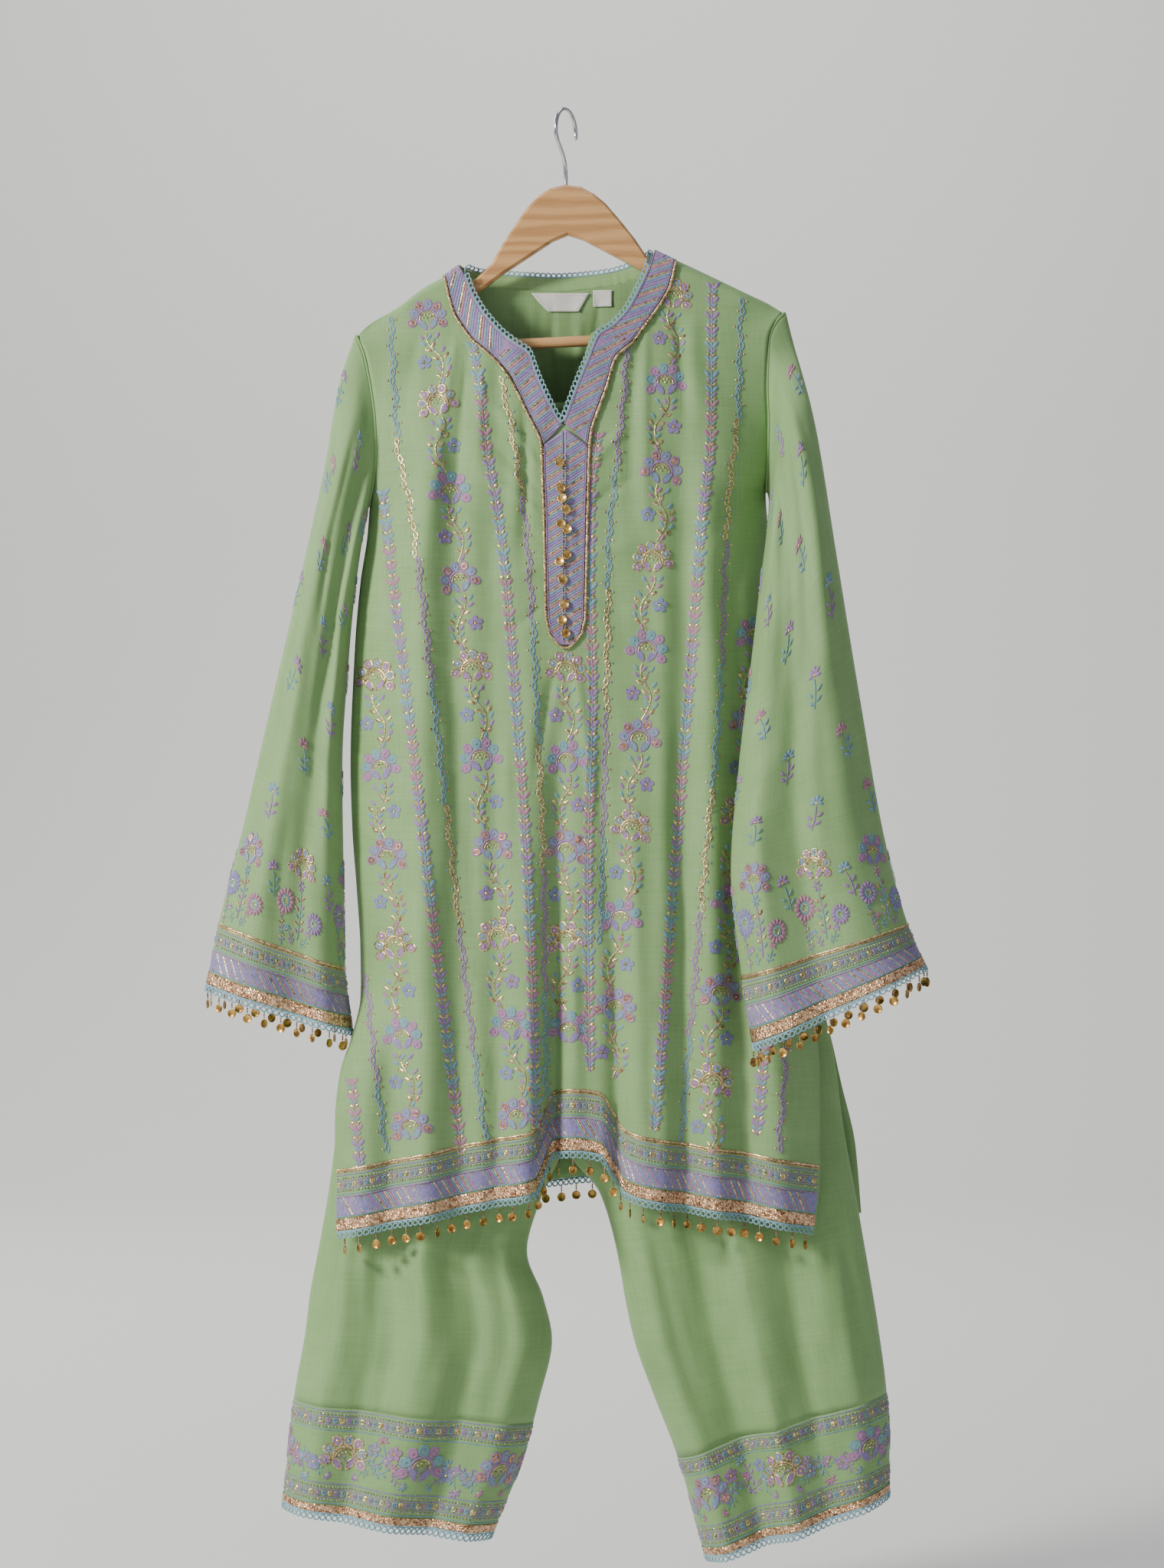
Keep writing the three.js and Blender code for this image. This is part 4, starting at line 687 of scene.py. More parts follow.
coin_brass = finish("antique_brass", CRINKLE, (0.20, 0.09, 0.02), (0.72, 0.43, 0.12), 0.2, 0.85, 0.3, 0.0003,
                    {"Scale": 300.0}, Roughness=0.34, Metallic=0.9)
label_satin = finish("label_satin", STRAND, (0.62, 0.60, 0.55), (0.82, 0.80, 0.76), 0.1, 0.8, 0.15, 0.0001,
                     Roughness=0.55)
hanger_wood = finish("hanger_wood", GRAIN, (0.44, 0.21, 0.075), (0.64, 0.36, 0.145), 0.15, 0.85, 0.12, 0.0003,
                     Roughness=0.42, Coat_Weight=0.25)
bright_wire = finish("bright_wire", CRINKLE, (0.45, 0.46, 0.48), (0.75, 0.76, 0.78), 0.1, 0.9, 0.05, 0.0001,
                     {"Scale": 60.0}, Roughness=0.2, Metallic=1.0)
print("thread colours:", [thread.name for thread in THREADS])

# %% [markdown]
# ## Cutting cloth
# A sheet of cloth starts as a flat grid. Its points are moved onto the garment's
# surface, its UV map keeps the flat place in millimetres, so that the weave follows the
# cloth, and a Solidify modifier gives it its thickness.

# %% From grid to cloth


def fine(columns, parts):
    """The same numbers with that many steps between each two."""
    places = np.arange(len(columns))
    return np.interp(np.linspace(0, len(columns) - 1, parts * (len(columns) - 1) + 1), places, columns)


def cloth(name, points, materials, flat, thick=0.9, flip=False, weld=False):
    """A sheet through points, rows by columns, in millimetres; flat gives its UV in millimetres."""
    rows, columns = points.shape[:2]
    bm = bmesh.new()
    bmesh.ops.create_grid(bm, x_segments=columns - 1, y_segments=rows - 1, size=1)
    layer = bm.loops.layers.uv.new("cloth")
    spots = [(round((1 - v.co.y) / 2 * (rows - 1)), round((1 + v.co.x) / 2 * (columns - 1))) for v in bm.verts]
    for vert, (i, j) in zip(bm.verts, spots):
        vert.co = points[i, j] * 0.001
        for loop in vert.link_loops:
            loop[layer].uv = flat[i, j]
    if flip:
        bmesh.ops.reverse_faces(bm, faces=bm.faces)
    if weld:
        bmesh.ops.remove_doubles(bm, verts=bm.verts, dist=1e-5)
    mesh = mesh_of(bm, name)
    mesh.shade_smooth()
    piece = link(name, mesh, materials)
    shell = piece.modifiers.new("wall", "SOLIDIFY")
    shell.thickness, shell.offset, shell.use_even_offset = thick * 0.001, 0, False
    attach(piece, "root")
    return piece


def flat_of(points):
    """Lengths along and down a sheet, in millimetres, from its points."""
    across, down = points[len(points) // 2], points[:, points.shape[1] // 2]
    return np.stack(np.meshgrid(lengths_along(across), lengths_along(down)), -1)


def swap(piece, nodes):
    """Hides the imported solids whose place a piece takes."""
    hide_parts(*nodes.split())


# %% [markdown]
# ## Front and back of the kurta
# The two panels start at the neck seam and the shoulders and end under the metal
# ribbon. Rows crowd together over the hanger, where the cloth turns sharply.

# %% Cut the two panels
COLUMNS = [-190, -176, -160, -144, -128, -114, -103, -97, -82, -62, -46, -34, -27, -18.6, -10,
           -2, 5, 12, 20.2, 27, 31, 45, 59, 76, 87, 98, 113, 130, 148, 166, 184, 198.3]


def panel(side, columns, rows):
    top = panel_top(side, columns)
    share = (columns - COLUMNS[0]) / (COLUMNS[-1] - COLUMNS[0])
    drops = np.array([0, 0.5, 1.5, 3, 5, 8, 12, 17])
    hem = hem_height(side, share)
    heights = np.concatenate([top - drops[:, None], mix(top - 22, hem, np.linspace(0, 1, rows)[:, None])])
    x = column_place(side, share[None, :] + 0 * heights, heights)
    return on_body(side, x, heights)


front_points = panel(-1, fine(COLUMNS, 4), 176)
swap(cloth("kurta_front_cloth", front_points, [kurta_cloth], front_points[..., [0, 2]]), "kurta_front")
back_points = panel(1, fine(COLUMNS, 3), 150)
swap(cloth("kurta_back_cloth", back_points, [kurta_cloth], back_points[..., [0, 2]], flip=True), "kurta_back")
print("kurta panels:", front_points.shape[:2], back_points.shape[:2], "points")

# %% [markdown]
# A sleeve is one piece of cloth closed by a seam, so its grid goes once round the tube and
# its two edges are merged. A leg's seam runs along its inner edge and stays open by a
# hair, because above the crotch the two legs are one seat. The ankle band is a cloth of
# its own, below a slanting seam.

# %% Sew the sleeves and the legs
for name, outward in (("left", False), ("right", True)):
    turn, t = np.meshgrid(np.linspace(0, 2 * np.pi, 97), np.r_[np.linspace(0, 0.1, 16), np.linspace(0.1, 1, 98)[1:]])
    points = on_sleeve(name, turn, t)
    piece = cloth(f"sleeve_{name}_cloth", points, [kurta_cloth], flat_of(points), flip=outward, weld=True)
    swap(piece, f"sleeve_{name}")
    turn, share = np.meshgrid(np.linspace(0.012, 2 * np.pi - 0.012, 109), np.linspace(0, 1, 118))
    points = on_leg(name, turn, share * ankle_seam(name, turn))
    piece = cloth(f"salwar_{name}_cloth", points, [salwar_cloth], flat_of(points), flip=not outward)
    swap(piece, f"salwar_leg_{name}")
    turn, share = np.meshgrid(np.linspace(0, 2 * np.pi, 109), np.linspace(0, 1, 20))
    points = on_leg(name, turn, mix(ankle_seam(name, turn), 1, share))
    piece = cloth(f"ankle_band_{name}_cloth", points, [salwar_cloth], flat_of(points), flip=not outward, weld=True)
    swap(piece, f"ankle_band_{name}")
print("tubes: two sleeves, two legs, two ankle bands")

# %% [markdown]
# ## Stitch shapes
# Close up, the embroidery is raised thread: round petals with a corded outline, pointed
# leaves, stems and short satin bars. Each shape is one low relief a thread's height
# tall, drawn flat in millimetres. Few faces are enough, because there are thousands.

# %% Petals, stems and bars


def circle(bm, sides):
    """The corners and the edges of a new ring."""
    rim = bmesh.ops.create_circle(bm, segments=sides, radius=1)["verts"]
    return list(rim), list(dict.fromkeys(edge for vert in rim for edge in vert.link_edges))


def grow(bm, edges):
    """Extrudes a rim, and gives the new corners, edges and faces."""
    made = bmesh.ops.extrude_edge_only(bm, edges=edges)["geom"]
    return [[g for g in made if isinstance(g, getattr(bmesh.types, kind))] for kind in ("BMVert", "BMEdge", "BMFace")]


def petal(bm, x, y, long, wide, turn, edge, fill, point=0.0, sides=8, high=0.55):
    """A round or pointed petal: a corded edge, a groove and a satin heart."""
    bands = [(1, 0, edge), (0.86, high, edge), (0.7, 0.15 * high, fill), (0.46, 0.9 * high, fill),
             (0.2, 0.35 * high, fill)]
    if sides < 8:
        bands = [(1, 0, edge), (0.6, high, fill)]
    made, edges = circle(bm, sides)
    for (r0, _, thread), (r1, lift, _) in zip(bands, bands[1:]):
        inner, edges, faces = grow(bm, edges)
        for face in faces:
            face.material_index = thread
        for vert in inner:
            vert.co = Vector((vert.co.x * r1 / r0, vert.co.y * r1 / r0, lift))
        made += inner
    bmesh.ops.contextual_create(bm, geom=edges, mat_nr=fill)
    turned = Matrix.Translation((x, y, 0)) @ Matrix.Rotation(math.radians(turn), 4, "Z")
    for vert in made:
        slim = 1 - point * vert.co.y ** 2
        vert.co = turned @ Vector((vert.co.x * slim * wide / 2, vert.co.y * long / 2, vert.co.z))


def stem(bm, points, wide, thread, high=0.5):
    """A corded line through points."""
    made = bmesh.ops.create_grid(bm, x_segments=len(points) - 1, y_segments=2, size=1)["verts"]
    line = [Vector((*point, 0)) for point in points]
    for vert in made:
        i = round((vert.co.x + 1) / 2 * (len(line) - 1))
        ahead = line[min(i + 1, len(line) - 1)] - line[max(i - 1, 0)]
        across = Vector((-ahead.y, ahead.x, 0)).normalized()
        vert.co = line[i] + across * wide / 2 * round(vert.co.y) + Vector((0, 0, 0 if round(vert.co.y) else high))
    for face in {face for vert in made for face in vert.link_faces}:
        face.material_index = thread


def curve(start, middle, end, count=5):
    """Points on a bow from start past middle to end."""
    return [tuple((1 - t) ** 2 * a + 2 * t * (1 - t) * b + t * t * c for a, b, c in zip(start, middle, end))
            for t in np.linspace(0, 1, count)]


def arc(radius, start, end, count):
    return [(radius * math.cos(a), radius * math.sin(a)) for a in np.radians(np.linspace(start, end, count))]


def motif(name, draw, *args, mirror=False):
    """A flat embroidered figure, kept to be laid many times."""
    bm = bmesh.new()
    draw(bm, *args)
    if mirror:
        bmesh.ops.scale(bm, vec=(-1, 1, 1), verts=bm.verts)
    bm.normal_update()
    bmesh.ops.reverse_faces(bm, faces=[face for face in bm.faces if face.normal.z < 0])
    return mesh_of(bm, name)


# %% [markdown]
# ## The figures of the embroidery
# The vines repeat a few figures: a flower head seen from the side with seven round
# petals over two pointed leaves, a leafy twig between two heads, a straight vine of
# paired leaves, and a chain of twisted links. Tracing each flower would be a long job;
# a few figures in several colourings read as hand work from a step away.

# %% Flower heads, blossoms and twigs


def flower_head(bm, one, two, rim, heart):
    """Seven petals over two leaves, about 42 mm across."""
    for k, angle in enumerate((-26, 10, 44, 78, 112, 147, 184)):
        edge, fill = (one, two)[k % 2]
        way = math.radians(angle)
        reach = 15.4 - 0.8 * (k % 2)
        petal(bm, reach * math.cos(way), reach * math.sin(way), 10.4, 9.2, angle - 90, edge, fill)
        petal(bm, reach * math.cos(way), reach * math.sin(way), 3, 3, angle - 90, edge, edge, sides=6, high=0.8)
    stem(bm, arc(9.6, -22, 202, 13), 2.2, rim, 0.8)
    stem(bm, arc(7.4, -10, 190, 11), 1.2, G, 0.7)
    for x, y in arc(4.6, 30, 150, 4) + [(0, 1.2)]:
        petal(bm, x, y, 2.4, 2.4, 0, G, G, sides=5)
    petal(bm, -5.6, -4.6, 14, 7, 32, rim, heart, 0.4)
    petal(bm, 5.2, -5.2, 14, 6.6, -38, rim, heart, 0.4)


def blossom(bm, x, y, size, edge, fill):
    """A small round flower of five petals."""
    for k in range(5):
        way = math.radians(72 * k + 18)
        petal(bm, x + 0.3 * size * math.cos(way), y + 0.3 * size * math.sin(way), 0.42 * size, 0.38 * size,
              72 * k - 72, edge, fill)
    petal(bm, x, y, 0.22 * size, 0.22 * size, 0, G, G, sides=6, high=0.8)


def twig(bm, one, two, bud):
    """A winding stem with small leaves and a blossom, down to 64 mm below the head."""
    spine = curve((-3, -12), (-7, -22), (5, -36), 6)[:-1] + curve((5, -36), (11, -46), (0, -64), 6)
    stem(bm, spine, 1.3, G)
    stem(bm, curve((3, -33), (-3, -27), (6, -16), 5), 1.0, two)
    leaves = [(-8.5, -16, 42, one), (-1, -17, -48, two), (-8, -22.5, 58, two), (1, -25, -40, G), (-4, -29.5, 62, G),
              (6.5, -17, -38, one), (9.5, -31, -42, one), (1, -38, 58, G), (11.5, -37, -46, G), (3, -43, 52, two),
              (12.5, -43, -38, two), (3.5, -49, 48, one), (12, -50, -35, one), (1.5, -55.5, 46, G), (9, -56, -40, R),
              (4.5, -61, -30, two)]
    for x, y, way, thread in leaves:
        petal(bm, x, y, 7.4, 3.7, way, thread, thread, 0.4, sides=6)
    blossom(bm, -10, -40, 14.5, bud, V)


# %% [markdown]
# Between the flower vines run narrow ones: leaves in pairs, and twisted links. The hems'
# tapes are made of rings. A ring is grown inwards from a circle, and stays open, so that
# the cloth shows through it.

# %% Leaf pairs, links and rings


def leaf_pairs(bm, one, two):
    stem(bm, [(0, 0), (0.4, -7), (-0.3, -14), (0.3, -21), (0, -27.5)], 1.7, one)
    for y, long, wide, way, thread in ((-5, 9, 4.2, 40, one), (-9.5, 5.6, 3, 46, two), (-13.5, 5.4, 3, 42, G),
                                       (-18.5, 8.4, 4, 40, one), (-22.5, 5.6, 3, 48, two), (-26.5, 5.4, 3, 44, G)):
        for side in (-1, 1):
            petal(bm, side * (1 + 0.3 * long), y + 0.34 * long, long, wide, -side * way, thread, thread, 0.35, sides=6)


def links(bm, thread, knot):
    """Two strands twisted round each other, with knots beside them."""
    for side in (-1, 1):
        stem(bm, [(side * 2.0 * math.sin(math.pi * y / 8), y) for y in np.linspace(0, -16.2, 10)], 1.5, thread, 0.6)
    petal(bm, 4.2, -3.6, 2.6, 2.2, 30, knot, knot, sides=5)
    petal(bm, -4.2, -11.8, 2.6, 2.2, -30, knot, knot, sides=5)
    petal(bm, 0, -4, 2.2, 1.2, 0, G, G, sides=5)


def thread_ring(bm, wide, thread, sides=8, high=0.6, hole=0.45):
    """A corded ring with the cloth showing through it."""
    made, edges = circle(bm, sides)
    for size, lift in (((1 + hole) / 2, high), (hole, 0)):
        inner, edges, _ = grow(bm, edges)
        for vert in inner:
            vert.co = Vector((*vert.co.xy.normalized() * size, lift))
        made += inner
    for vert in made:
        vert.co = Vector((vert.co.x * wide / 2, vert.co.y * wide / 2, vert.co.z))
    for face in {face for vert in made for face in vert.link_faces}:
        face.material_index = thread


# %% [markdown]
# The sleeves and ankles use three more plants: a marigold seen from above, a small sprig
# and a leafy stalk. Every figure is then drawn in its colourings, and kept as a mesh.

# %% Marigolds, sprigs and stalks, and all figures in their colours


def marigold(bm, outer, heart, size):
    """A round flower, 22 mm across at size 1."""
    for k in range(14):
        way = 360 / 14 * k
        x, y = 7.6 * size * math.cos(math.radians(way)), 7.6 * size * math.sin(math.radians(way))
        petal(bm, x, y, 6.4 * size, 3.7 * size, way - 90, outer, outer, 0.1, sides=6, high=0.8)
    thread_ring(bm, 10 * size, heart, 10)
    for x, y in arc(2.6 * size, 0, 300, 6):
        petal(bm, x, y, 2.3, 2.3, 0, G, G, sides=5)


def sprig(bm, one, two):
    """A stem with four leaves and a half-open flower, about 30 mm tall."""
    stem(bm, curve((0, -14), (2, -4), (0, 6), 5), 1.2, one)
    for k in range(5):
        way = 90 + 50 * (k - 2)
        x, y = 3.6 * math.cos(math.radians(way)), 9 + 3.6 * math.sin(math.radians(way))
        petal(bm, x, y, 6, 3.4, way - 90, two, two, 0.3, sides=6)
    petal(bm, 0, 8.6, 3, 3, 0, G, G, sides=6)
    for x, y, way in ((-4, -4, 52), (4.6, -1, -48), (-3, -10, 60), (4, -8, -56)):
        petal(bm, x, y, 6.5, 3, way, one, one, 0.4, sides=6)


def stalk(bm, one, two, top):
    """A leafy stalk, 46 mm tall, with a small star on top."""
    stem(bm, curve((0, 0), (3, 20), (1, 40), 7), 1.3, one)
    for k, (y, thread) in enumerate(((8, two), (14, G), (20, one), (26, two), (33, R))):
        for side in (-1, 1):
            petal(bm, 1 + side * 3.4, y + side, 6, 2.8, -side * 52, thread, thread, 0.4, sides=6)
    for k in range(6):
        way = 60 * k
        x, y = 1 + 3 * math.cos(math.radians(way)), 44 + 3 * math.sin(math.radians(way))
        petal(bm, x, y, 4.4, 2.2, way - 90, top, top, 0.2, sides=6)


HEADS = [motif("head", flower_head, *kit, mirror=mirror) for kit in (
    ((L, R), (L, B), L, B), ((G, L), (G, B), G, L), ((L, P), (B, A), L, V)) for mirror in (False, True)]
TWIGS = [motif("twig", twig, *kit, mirror=mirror) for kit in ((L, B, B), (A, L, L), (B, P, B))
         for mirror in (False, True)]
PAIRS = [motif("pairs", leaf_pairs, *kit) for kit in ((L, B), (B, L), (P, A))]
CHAINS = [motif("links", links, *kit) for kit in ((G, A), (L, G), (B, G))]
SPRIGS = [motif("sprig", sprig, *kit) for kit in ((L, B), (B, P), (A, L))]
MARIGOLDS = [motif("marigold", marigold, *kit) for kit in ((V, B, 1.15), (P, A, 1.1), (L, B, 1.0))]
BLOSSOMS = [motif("blossom", blossom, 0, 0, 14.5, *kit) for kit in ((B, V), (P, L), (L, A))]
STALKS = [motif("stalk", stalk, *kit) for kit in ((L, A, B), (A, P, L), (B, L, P))]
print("faces in one flower head:", len(HEADS[0].polygons))

# %% [markdown]
# A figure is drawn once and copied flat to every place, as with a carved printing block.
# Then the whole flat field moves onto the cloth, point by point. Instances would be
# lighter, but they stay rigid, and here each figure has to follow the folds.

# %% Lay a figure and sew the work on


def sow(bm, shape, x, y, turn=0.0, size=1.0, wide=1.0):
    """Lays one figure flat, turned, sized and widened."""
    copy = shape.copy()
    copy.transform(Matrix.Translation((x, y, 0)) @ Matrix.Diagonal((wide, 1, 1, 1)) @ Matrix.Rotation(turn, 4, "Z")
                   @ Matrix.Scale(size, 4))
    bm.from_mesh(copy)
    bpy.data.meshes.remove(copy)


def bend(mesh, place):
    """Moves every corner of flat work to place(x, y, height)."""
    flat = np.zeros(len(mesh.vertices) * 3)
    mesh.vertices.foreach_get("co", flat)
    mesh.vertices.foreach_set("co", place(*flat.reshape(-1, 3).T).ravel())
    mesh.update()


def hand_over(name, mesh, materials):
    """Puts a finished mesh into the scene as a piece of the suit."""
    mesh.shade_smooth()
    piece = link(name, mesh, materials)
    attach(piece, "root")
    print(name, "has", len(mesh.polygons), "faces")
    return piece


def sew(name, bm, place, materials):
    """Moves flat work onto the surface that place(x, y, height) gives, as one piece."""
    mesh = mesh_of(bm, name)
    bend(mesh, lambda x, y, h: place(x, y, h) * 0.001)
    hand_over(name, mesh, materials)


# %% [markdown]
# ## Vines down the front and the back
# Stripes of embroidery run from the shoulders to the hem and fan out a little with the
# cloth. Flower vines, leaf vines and chains take turns. A stripe is a table of places,
# and the figures are laid along it, each turned the way the stripe runs there.

# %% Stripes
STRIPES = {
    -1: [("pairs", 0, [(-196, -770), (-198, -840), (-194, -875), (-185, -957)]),
         ("chain", 1, [(-184, -771), (-171, -875), (-161, -950)]),
         ("flower", 2, [(-178, -345), (-180, -385), (-176, -465), (-165, -633), (-144, -872), (-136, -952)]),
         ("pairs", 0, [(-170, -291), (-167, -339), (-163, -377), (-144, -530), (-103, -875), (-94, -944)]),
         ("chain", 2, [(-160, -187), (-156, -253), (-152, -308), (-143, -351), (-136, -394), (-120, -530),
                       (-80, -875), (-71, -944)]),
         ("flower", 0, [(-129, -178), (-125, -198), (-115, -278), (-104, -357), (-94, -446), (-83, -524),
                        (-75, -606), (-65, -684), (-59, -774), (-47, -854), (-43, -923)]),
         ("pairs", 1, [(-85, -212), (-79, -248), (-72, -308), (-64, -355), (-58, -394), (-46, -530), (-34, -702),
                       (-28, -875), (-27, -915)]),
         ("chain", 0, [(-60, -244), (-51, -282), (-45, -317), (-40, -351), (-34, -406), (-27, -530), (-20, -702),
                       (-18, -895)]),
         ("flower", 1, [(0, -500), (1, -599), (0, -737), (4, -875)]),
         ("pairs", 2, [(30, -296), (23, -351), (22, -426), (24, -530), (20, -702), (22, -890)]),
         ("chain", 1, [(55, -214), (53, -257), (49, -292), (44, -347), (39, -393), (37, -530), (31, -760)]),
         ("flower", 1, [(98, -158), (97, -175), (90, -257), (86, -338), (78, -419), (72, -505), (65, -590), (57, -677),
                        (47, -764), (42, -861), (39, -900)]),
         ("pairs", 0, [(134, -157), (133, -185), (131, -295), (123, -375), (111, -530), (97, -702), (84, -875),
                       (79, -930)]),
         ("chain", 2, [(160, -170), (156, -275), (147, -357), (139, -530), (124, -702), (109, -875), (104, -937)]),
         ("flower", 2, [(180, -225), (182, -240), (180, -351), (173, -461), (165, -571), (151, -702), (133, -863),
                        (128, -944)]),
         ("pairs", 1, [(192, -600), (188, -702), (175, -897), (170, -944)]),
         ("chain", 0, [(209, -737), (195, -897), (191, -944)]), ("flower", 0, [(226, -790), (222, -884), (216, -944)])],
    1: [(kind, k, [(0.82 * x, top), (0.9 * x, -420), (x, -700), (1.06 * x + 6, -950)])
        for k, (kind, x, top) in enumerate((
            ("chain", -176, -330), ("flower", -142, -230), ("pairs", -108, -200), ("chain", -84, -195),
            ("flower", -50, -215), ("pairs", -16, -195), ("chain", 8, -195), ("flower", 42, -215),
            ("pairs", 78, -195), ("chain", 104, -200), ("flower", 142, -225), ("pairs", 182, -330)))],
}
KINDS = {"flower": 81.0, "pairs": 27.5, "chain": 16.0}  # how long one figure of each is
VINE_LIFT = 0.7  # from the middle of the cloth to the foot of the thread


def vines(side):
    """All stripes of a panel, drawn flat. A figure is left out where an edge is too near."""
    bm = bmesh.new()
    for kind, tint, points in STRIPES[side]:
        rows = table("x z", *points)
        low = rows["z"][-1]
        pitch, k, z = KINDS[kind], 0, rows["z"][0] - (14 if kind == "flower" else 2)
        while z > low + (6 if kind == "flower" else 0.6 * pitch):
            x = float(read(rows, "z", z, "x"))
            lean = float(read(rows, "z", z - 10, "x") - read(rows, "z", z + 10, "x")) / 20
            turn = math.atan(lean)
            room = min(x - read(EDGES[side, 0], "z", z, "x"), read(EDGES[side, 1], "z", z, "x") - x)
            if kind == "flower" and room > 14:
                sow(bm, HEADS[(2 * tint + 2 * (k % 3) + k % 2) % 6], x, z, turn, 0.94 + 0.03 * (k % 3))
                if z - 62 > low - 4:
                    sow(bm, TWIGS[(2 * tint + k % 2 + 2 * (k // 2 % 2)) % 6], x, z, turn, 0.98)
            elif kind == "pairs" and room > 8:
                sow(bm, PAIRS[(tint + k // 2) % 3], x, z, turn, 0.97 + 0.04 * (k % 2))
            elif kind == "chain" and room > 5:
                sow(bm, CHAINS[(tint + k // 7) % 3], x, z, turn + 0.12 * (-1) ** k)
            z, k = z - pitch * math.cos(turn), k + 1
    return bm


for side, name in ((-1, "front"), (1, "back")):
    sew(f"vines_{name}", vines(side), lambda x, z, h: off_body(side, x, z, VINE_LIFT + h), THREADS)

# %% [markdown]
# ## Borders
# Hems and cuffs end in the same border: a gold cord, a woven tape of small rings
# between rows of dots, a band of slanting bars, the crinkled metal ribbon, and a picot
# lace that carries the coins. A border is drawn flat along a line, with its height above
# the edge, and a run measures that line on the cloth, so that the pitch stays even.

# %% Runs along an edge


class Run:
    """Length along a line of a surface, from place(share, up), in millimetres."""
    measured_at = -3.0  # just below the edge, where the lace hangs

    def __init__(self, place, low=0.0, high=1.0):
        self.place = place
        self.shares = np.linspace(low, high, 600)
        self.lengths = lengths_along(place(self.shares, self.measured_at + 0 * self.shares))
        self.total = float(self.lengths[-1])

    def girth(self, up):
        """Length along the line at that height."""
        points = self.place(self.shares, up + 0 * self.shares)
        return float(np.linalg.norm(np.diff(points, axis=0), axis=1).sum())

    def share(self, s):
        return np.interp(s, self.lengths, self.shares)

    def lay(self, s, up, out):
        """The place of a flat point of the border."""
        step = 0.004
        share = self.share(np.asarray(s, float))
        across = self.place(share + step, up) - self.place(share - step, up)
        rise = self.place(share, up + 1.0) - self.place(share, up - 1.0)
        return self.place(share, up) + unit_normal(across, rise) * np.asarray(out)[..., None]


def hem_place(side):
    return lambda share, up: on_hem(side, share if side < 0 else 1 - share, up)


def cuff_place(name):
    way = 1 if name == "left" else -1
    return lambda share, up: on_sleeve(name, way * 2 * np.pi * share, 1 - up / SLEEVE_LENGTH)


def ankle_place(name):
    way = (-1 if name == "left" else 1) * 2 * np.pi
    return lambda share, up: on_leg(name, way * share, 1 - up / ANKLE_BAND * (1 - ankle_seam(name, way * share)))


RUNS = {"hem_front": Run(hem_place(-1), low=0.004, high=0.996), "hem_back": Run(hem_place(1), low=0.004, high=0.996)}
for name in ("left", "right"):
    RUNS[f"cuff_{name}"] = Run(cuff_place(name))
    RUNS[f"ankle_{name}"] = Run(ankle_place(name))
print("edges to trim, in mm:", {name: round(run.total) for name, run in RUNS.items()})

# %% [markdown]
# The border is drawn from its top down: cord, fine line, ring tape, line, slanting bars
# and a last line. Its heights are measured from the edge, so the hems and the cuffs share
# one drawing, whatever their length.

# %% Draw a border
RING_PITCH, DOT_PITCH, BAR_PITCH = 5.6, 2.8, 2.2
BORDER_LIFT, WORK_LIFT = 0.85, 0.75


def line(bm, total, up, wide, thread, high=0.5, wave=0.0):
    """One line of thread along a whole edge, straight or wavy."""
    count = int(total / 4)
    stem(bm, [(total * k / count, up + wave * math.sin(1.9 * k)) for k in range(count + 1)], wide, thread, high)


RING = [motif("ring", lambda bm, c=c: thread_ring(bm, 5.2, c, 8, 0.8, 0.4)) for c in (G, L, B)]
DOT = [motif("dot", lambda bm, c=c: petal(bm, 0, 0, 1.9, 1.9, 0, c, c, sides=5, high=0.6)) for c in (A, G, V, G, B, R)]
BAR = [motif("bar", lambda bm, c=c: stem(bm, [(-5.2, 8), (5.2, -8)], 1.75, c, 0.7))
       for c in (L, B, L, G, B, P, L, B, G)]


def tape(bm, total, middle):
    """The ring tape: a row of rings between dots and lines."""
    for k in range(int(total / RING_PITCH)):
        s = RING_PITCH / 2 + RING_PITCH * k
        sow(bm, RING[k % 3], s, middle)
        sow(bm, DOT[(k + 3) % 6], s, middle, 0, 1.1)
    for k in range(int(total / DOT_PITCH)):
        for row, up in enumerate((middle - 5.6, middle + 5.6)):
            sow(bm, DOT[(k + 2 * row) % 6], DOT_PITCH / 2 + DOT_PITCH * k, up)
    for up, thread in ((middle - 8.6, B), (middle - 3.4, L), (middle + 3.4, L), (middle + 8.6, V)):
        line(bm, total, up, 0.9, thread, 0.35)


def border(total):
    bm = bmesh.new()
    line(bm, total, 54.5, 2.2, G, 1.0, 0.2)
    line(bm, total, 52.4, 1.2, R, 0.6)
    tape(bm, total, 41)
    line(bm, total, 30, 1.3, L, 0.6)
    line(bm, total, 21, 16, V, 0.05)
    for k in range(int((total - 11) / BAR_PITCH)):
        sow(bm, BAR[k % 9], 5.8 + BAR_PITCH * k, 21)
    line(bm, total, 12.4, 1.2, B, 0.6)
    return bm


for name in ("hem_front", "hem_back", "cuff_left", "cuff_right"):
    run = RUNS[name]
    sew(f"border_{name}", border(run.total), lambda s, up, h: run.lay(s, up, BORDER_LIFT + h), THREADS)

# %% [markdown]
# ## Metal ribbon, lace and coins
# The ribbon is sheet metal woven on thread, creased all over by hand. The lace below it
# is a narrow tape with a row of thread rings. A coin hangs from every third ring, on a
# thread with three copper beads, and each coin has turned its own way.

# %% Small solids


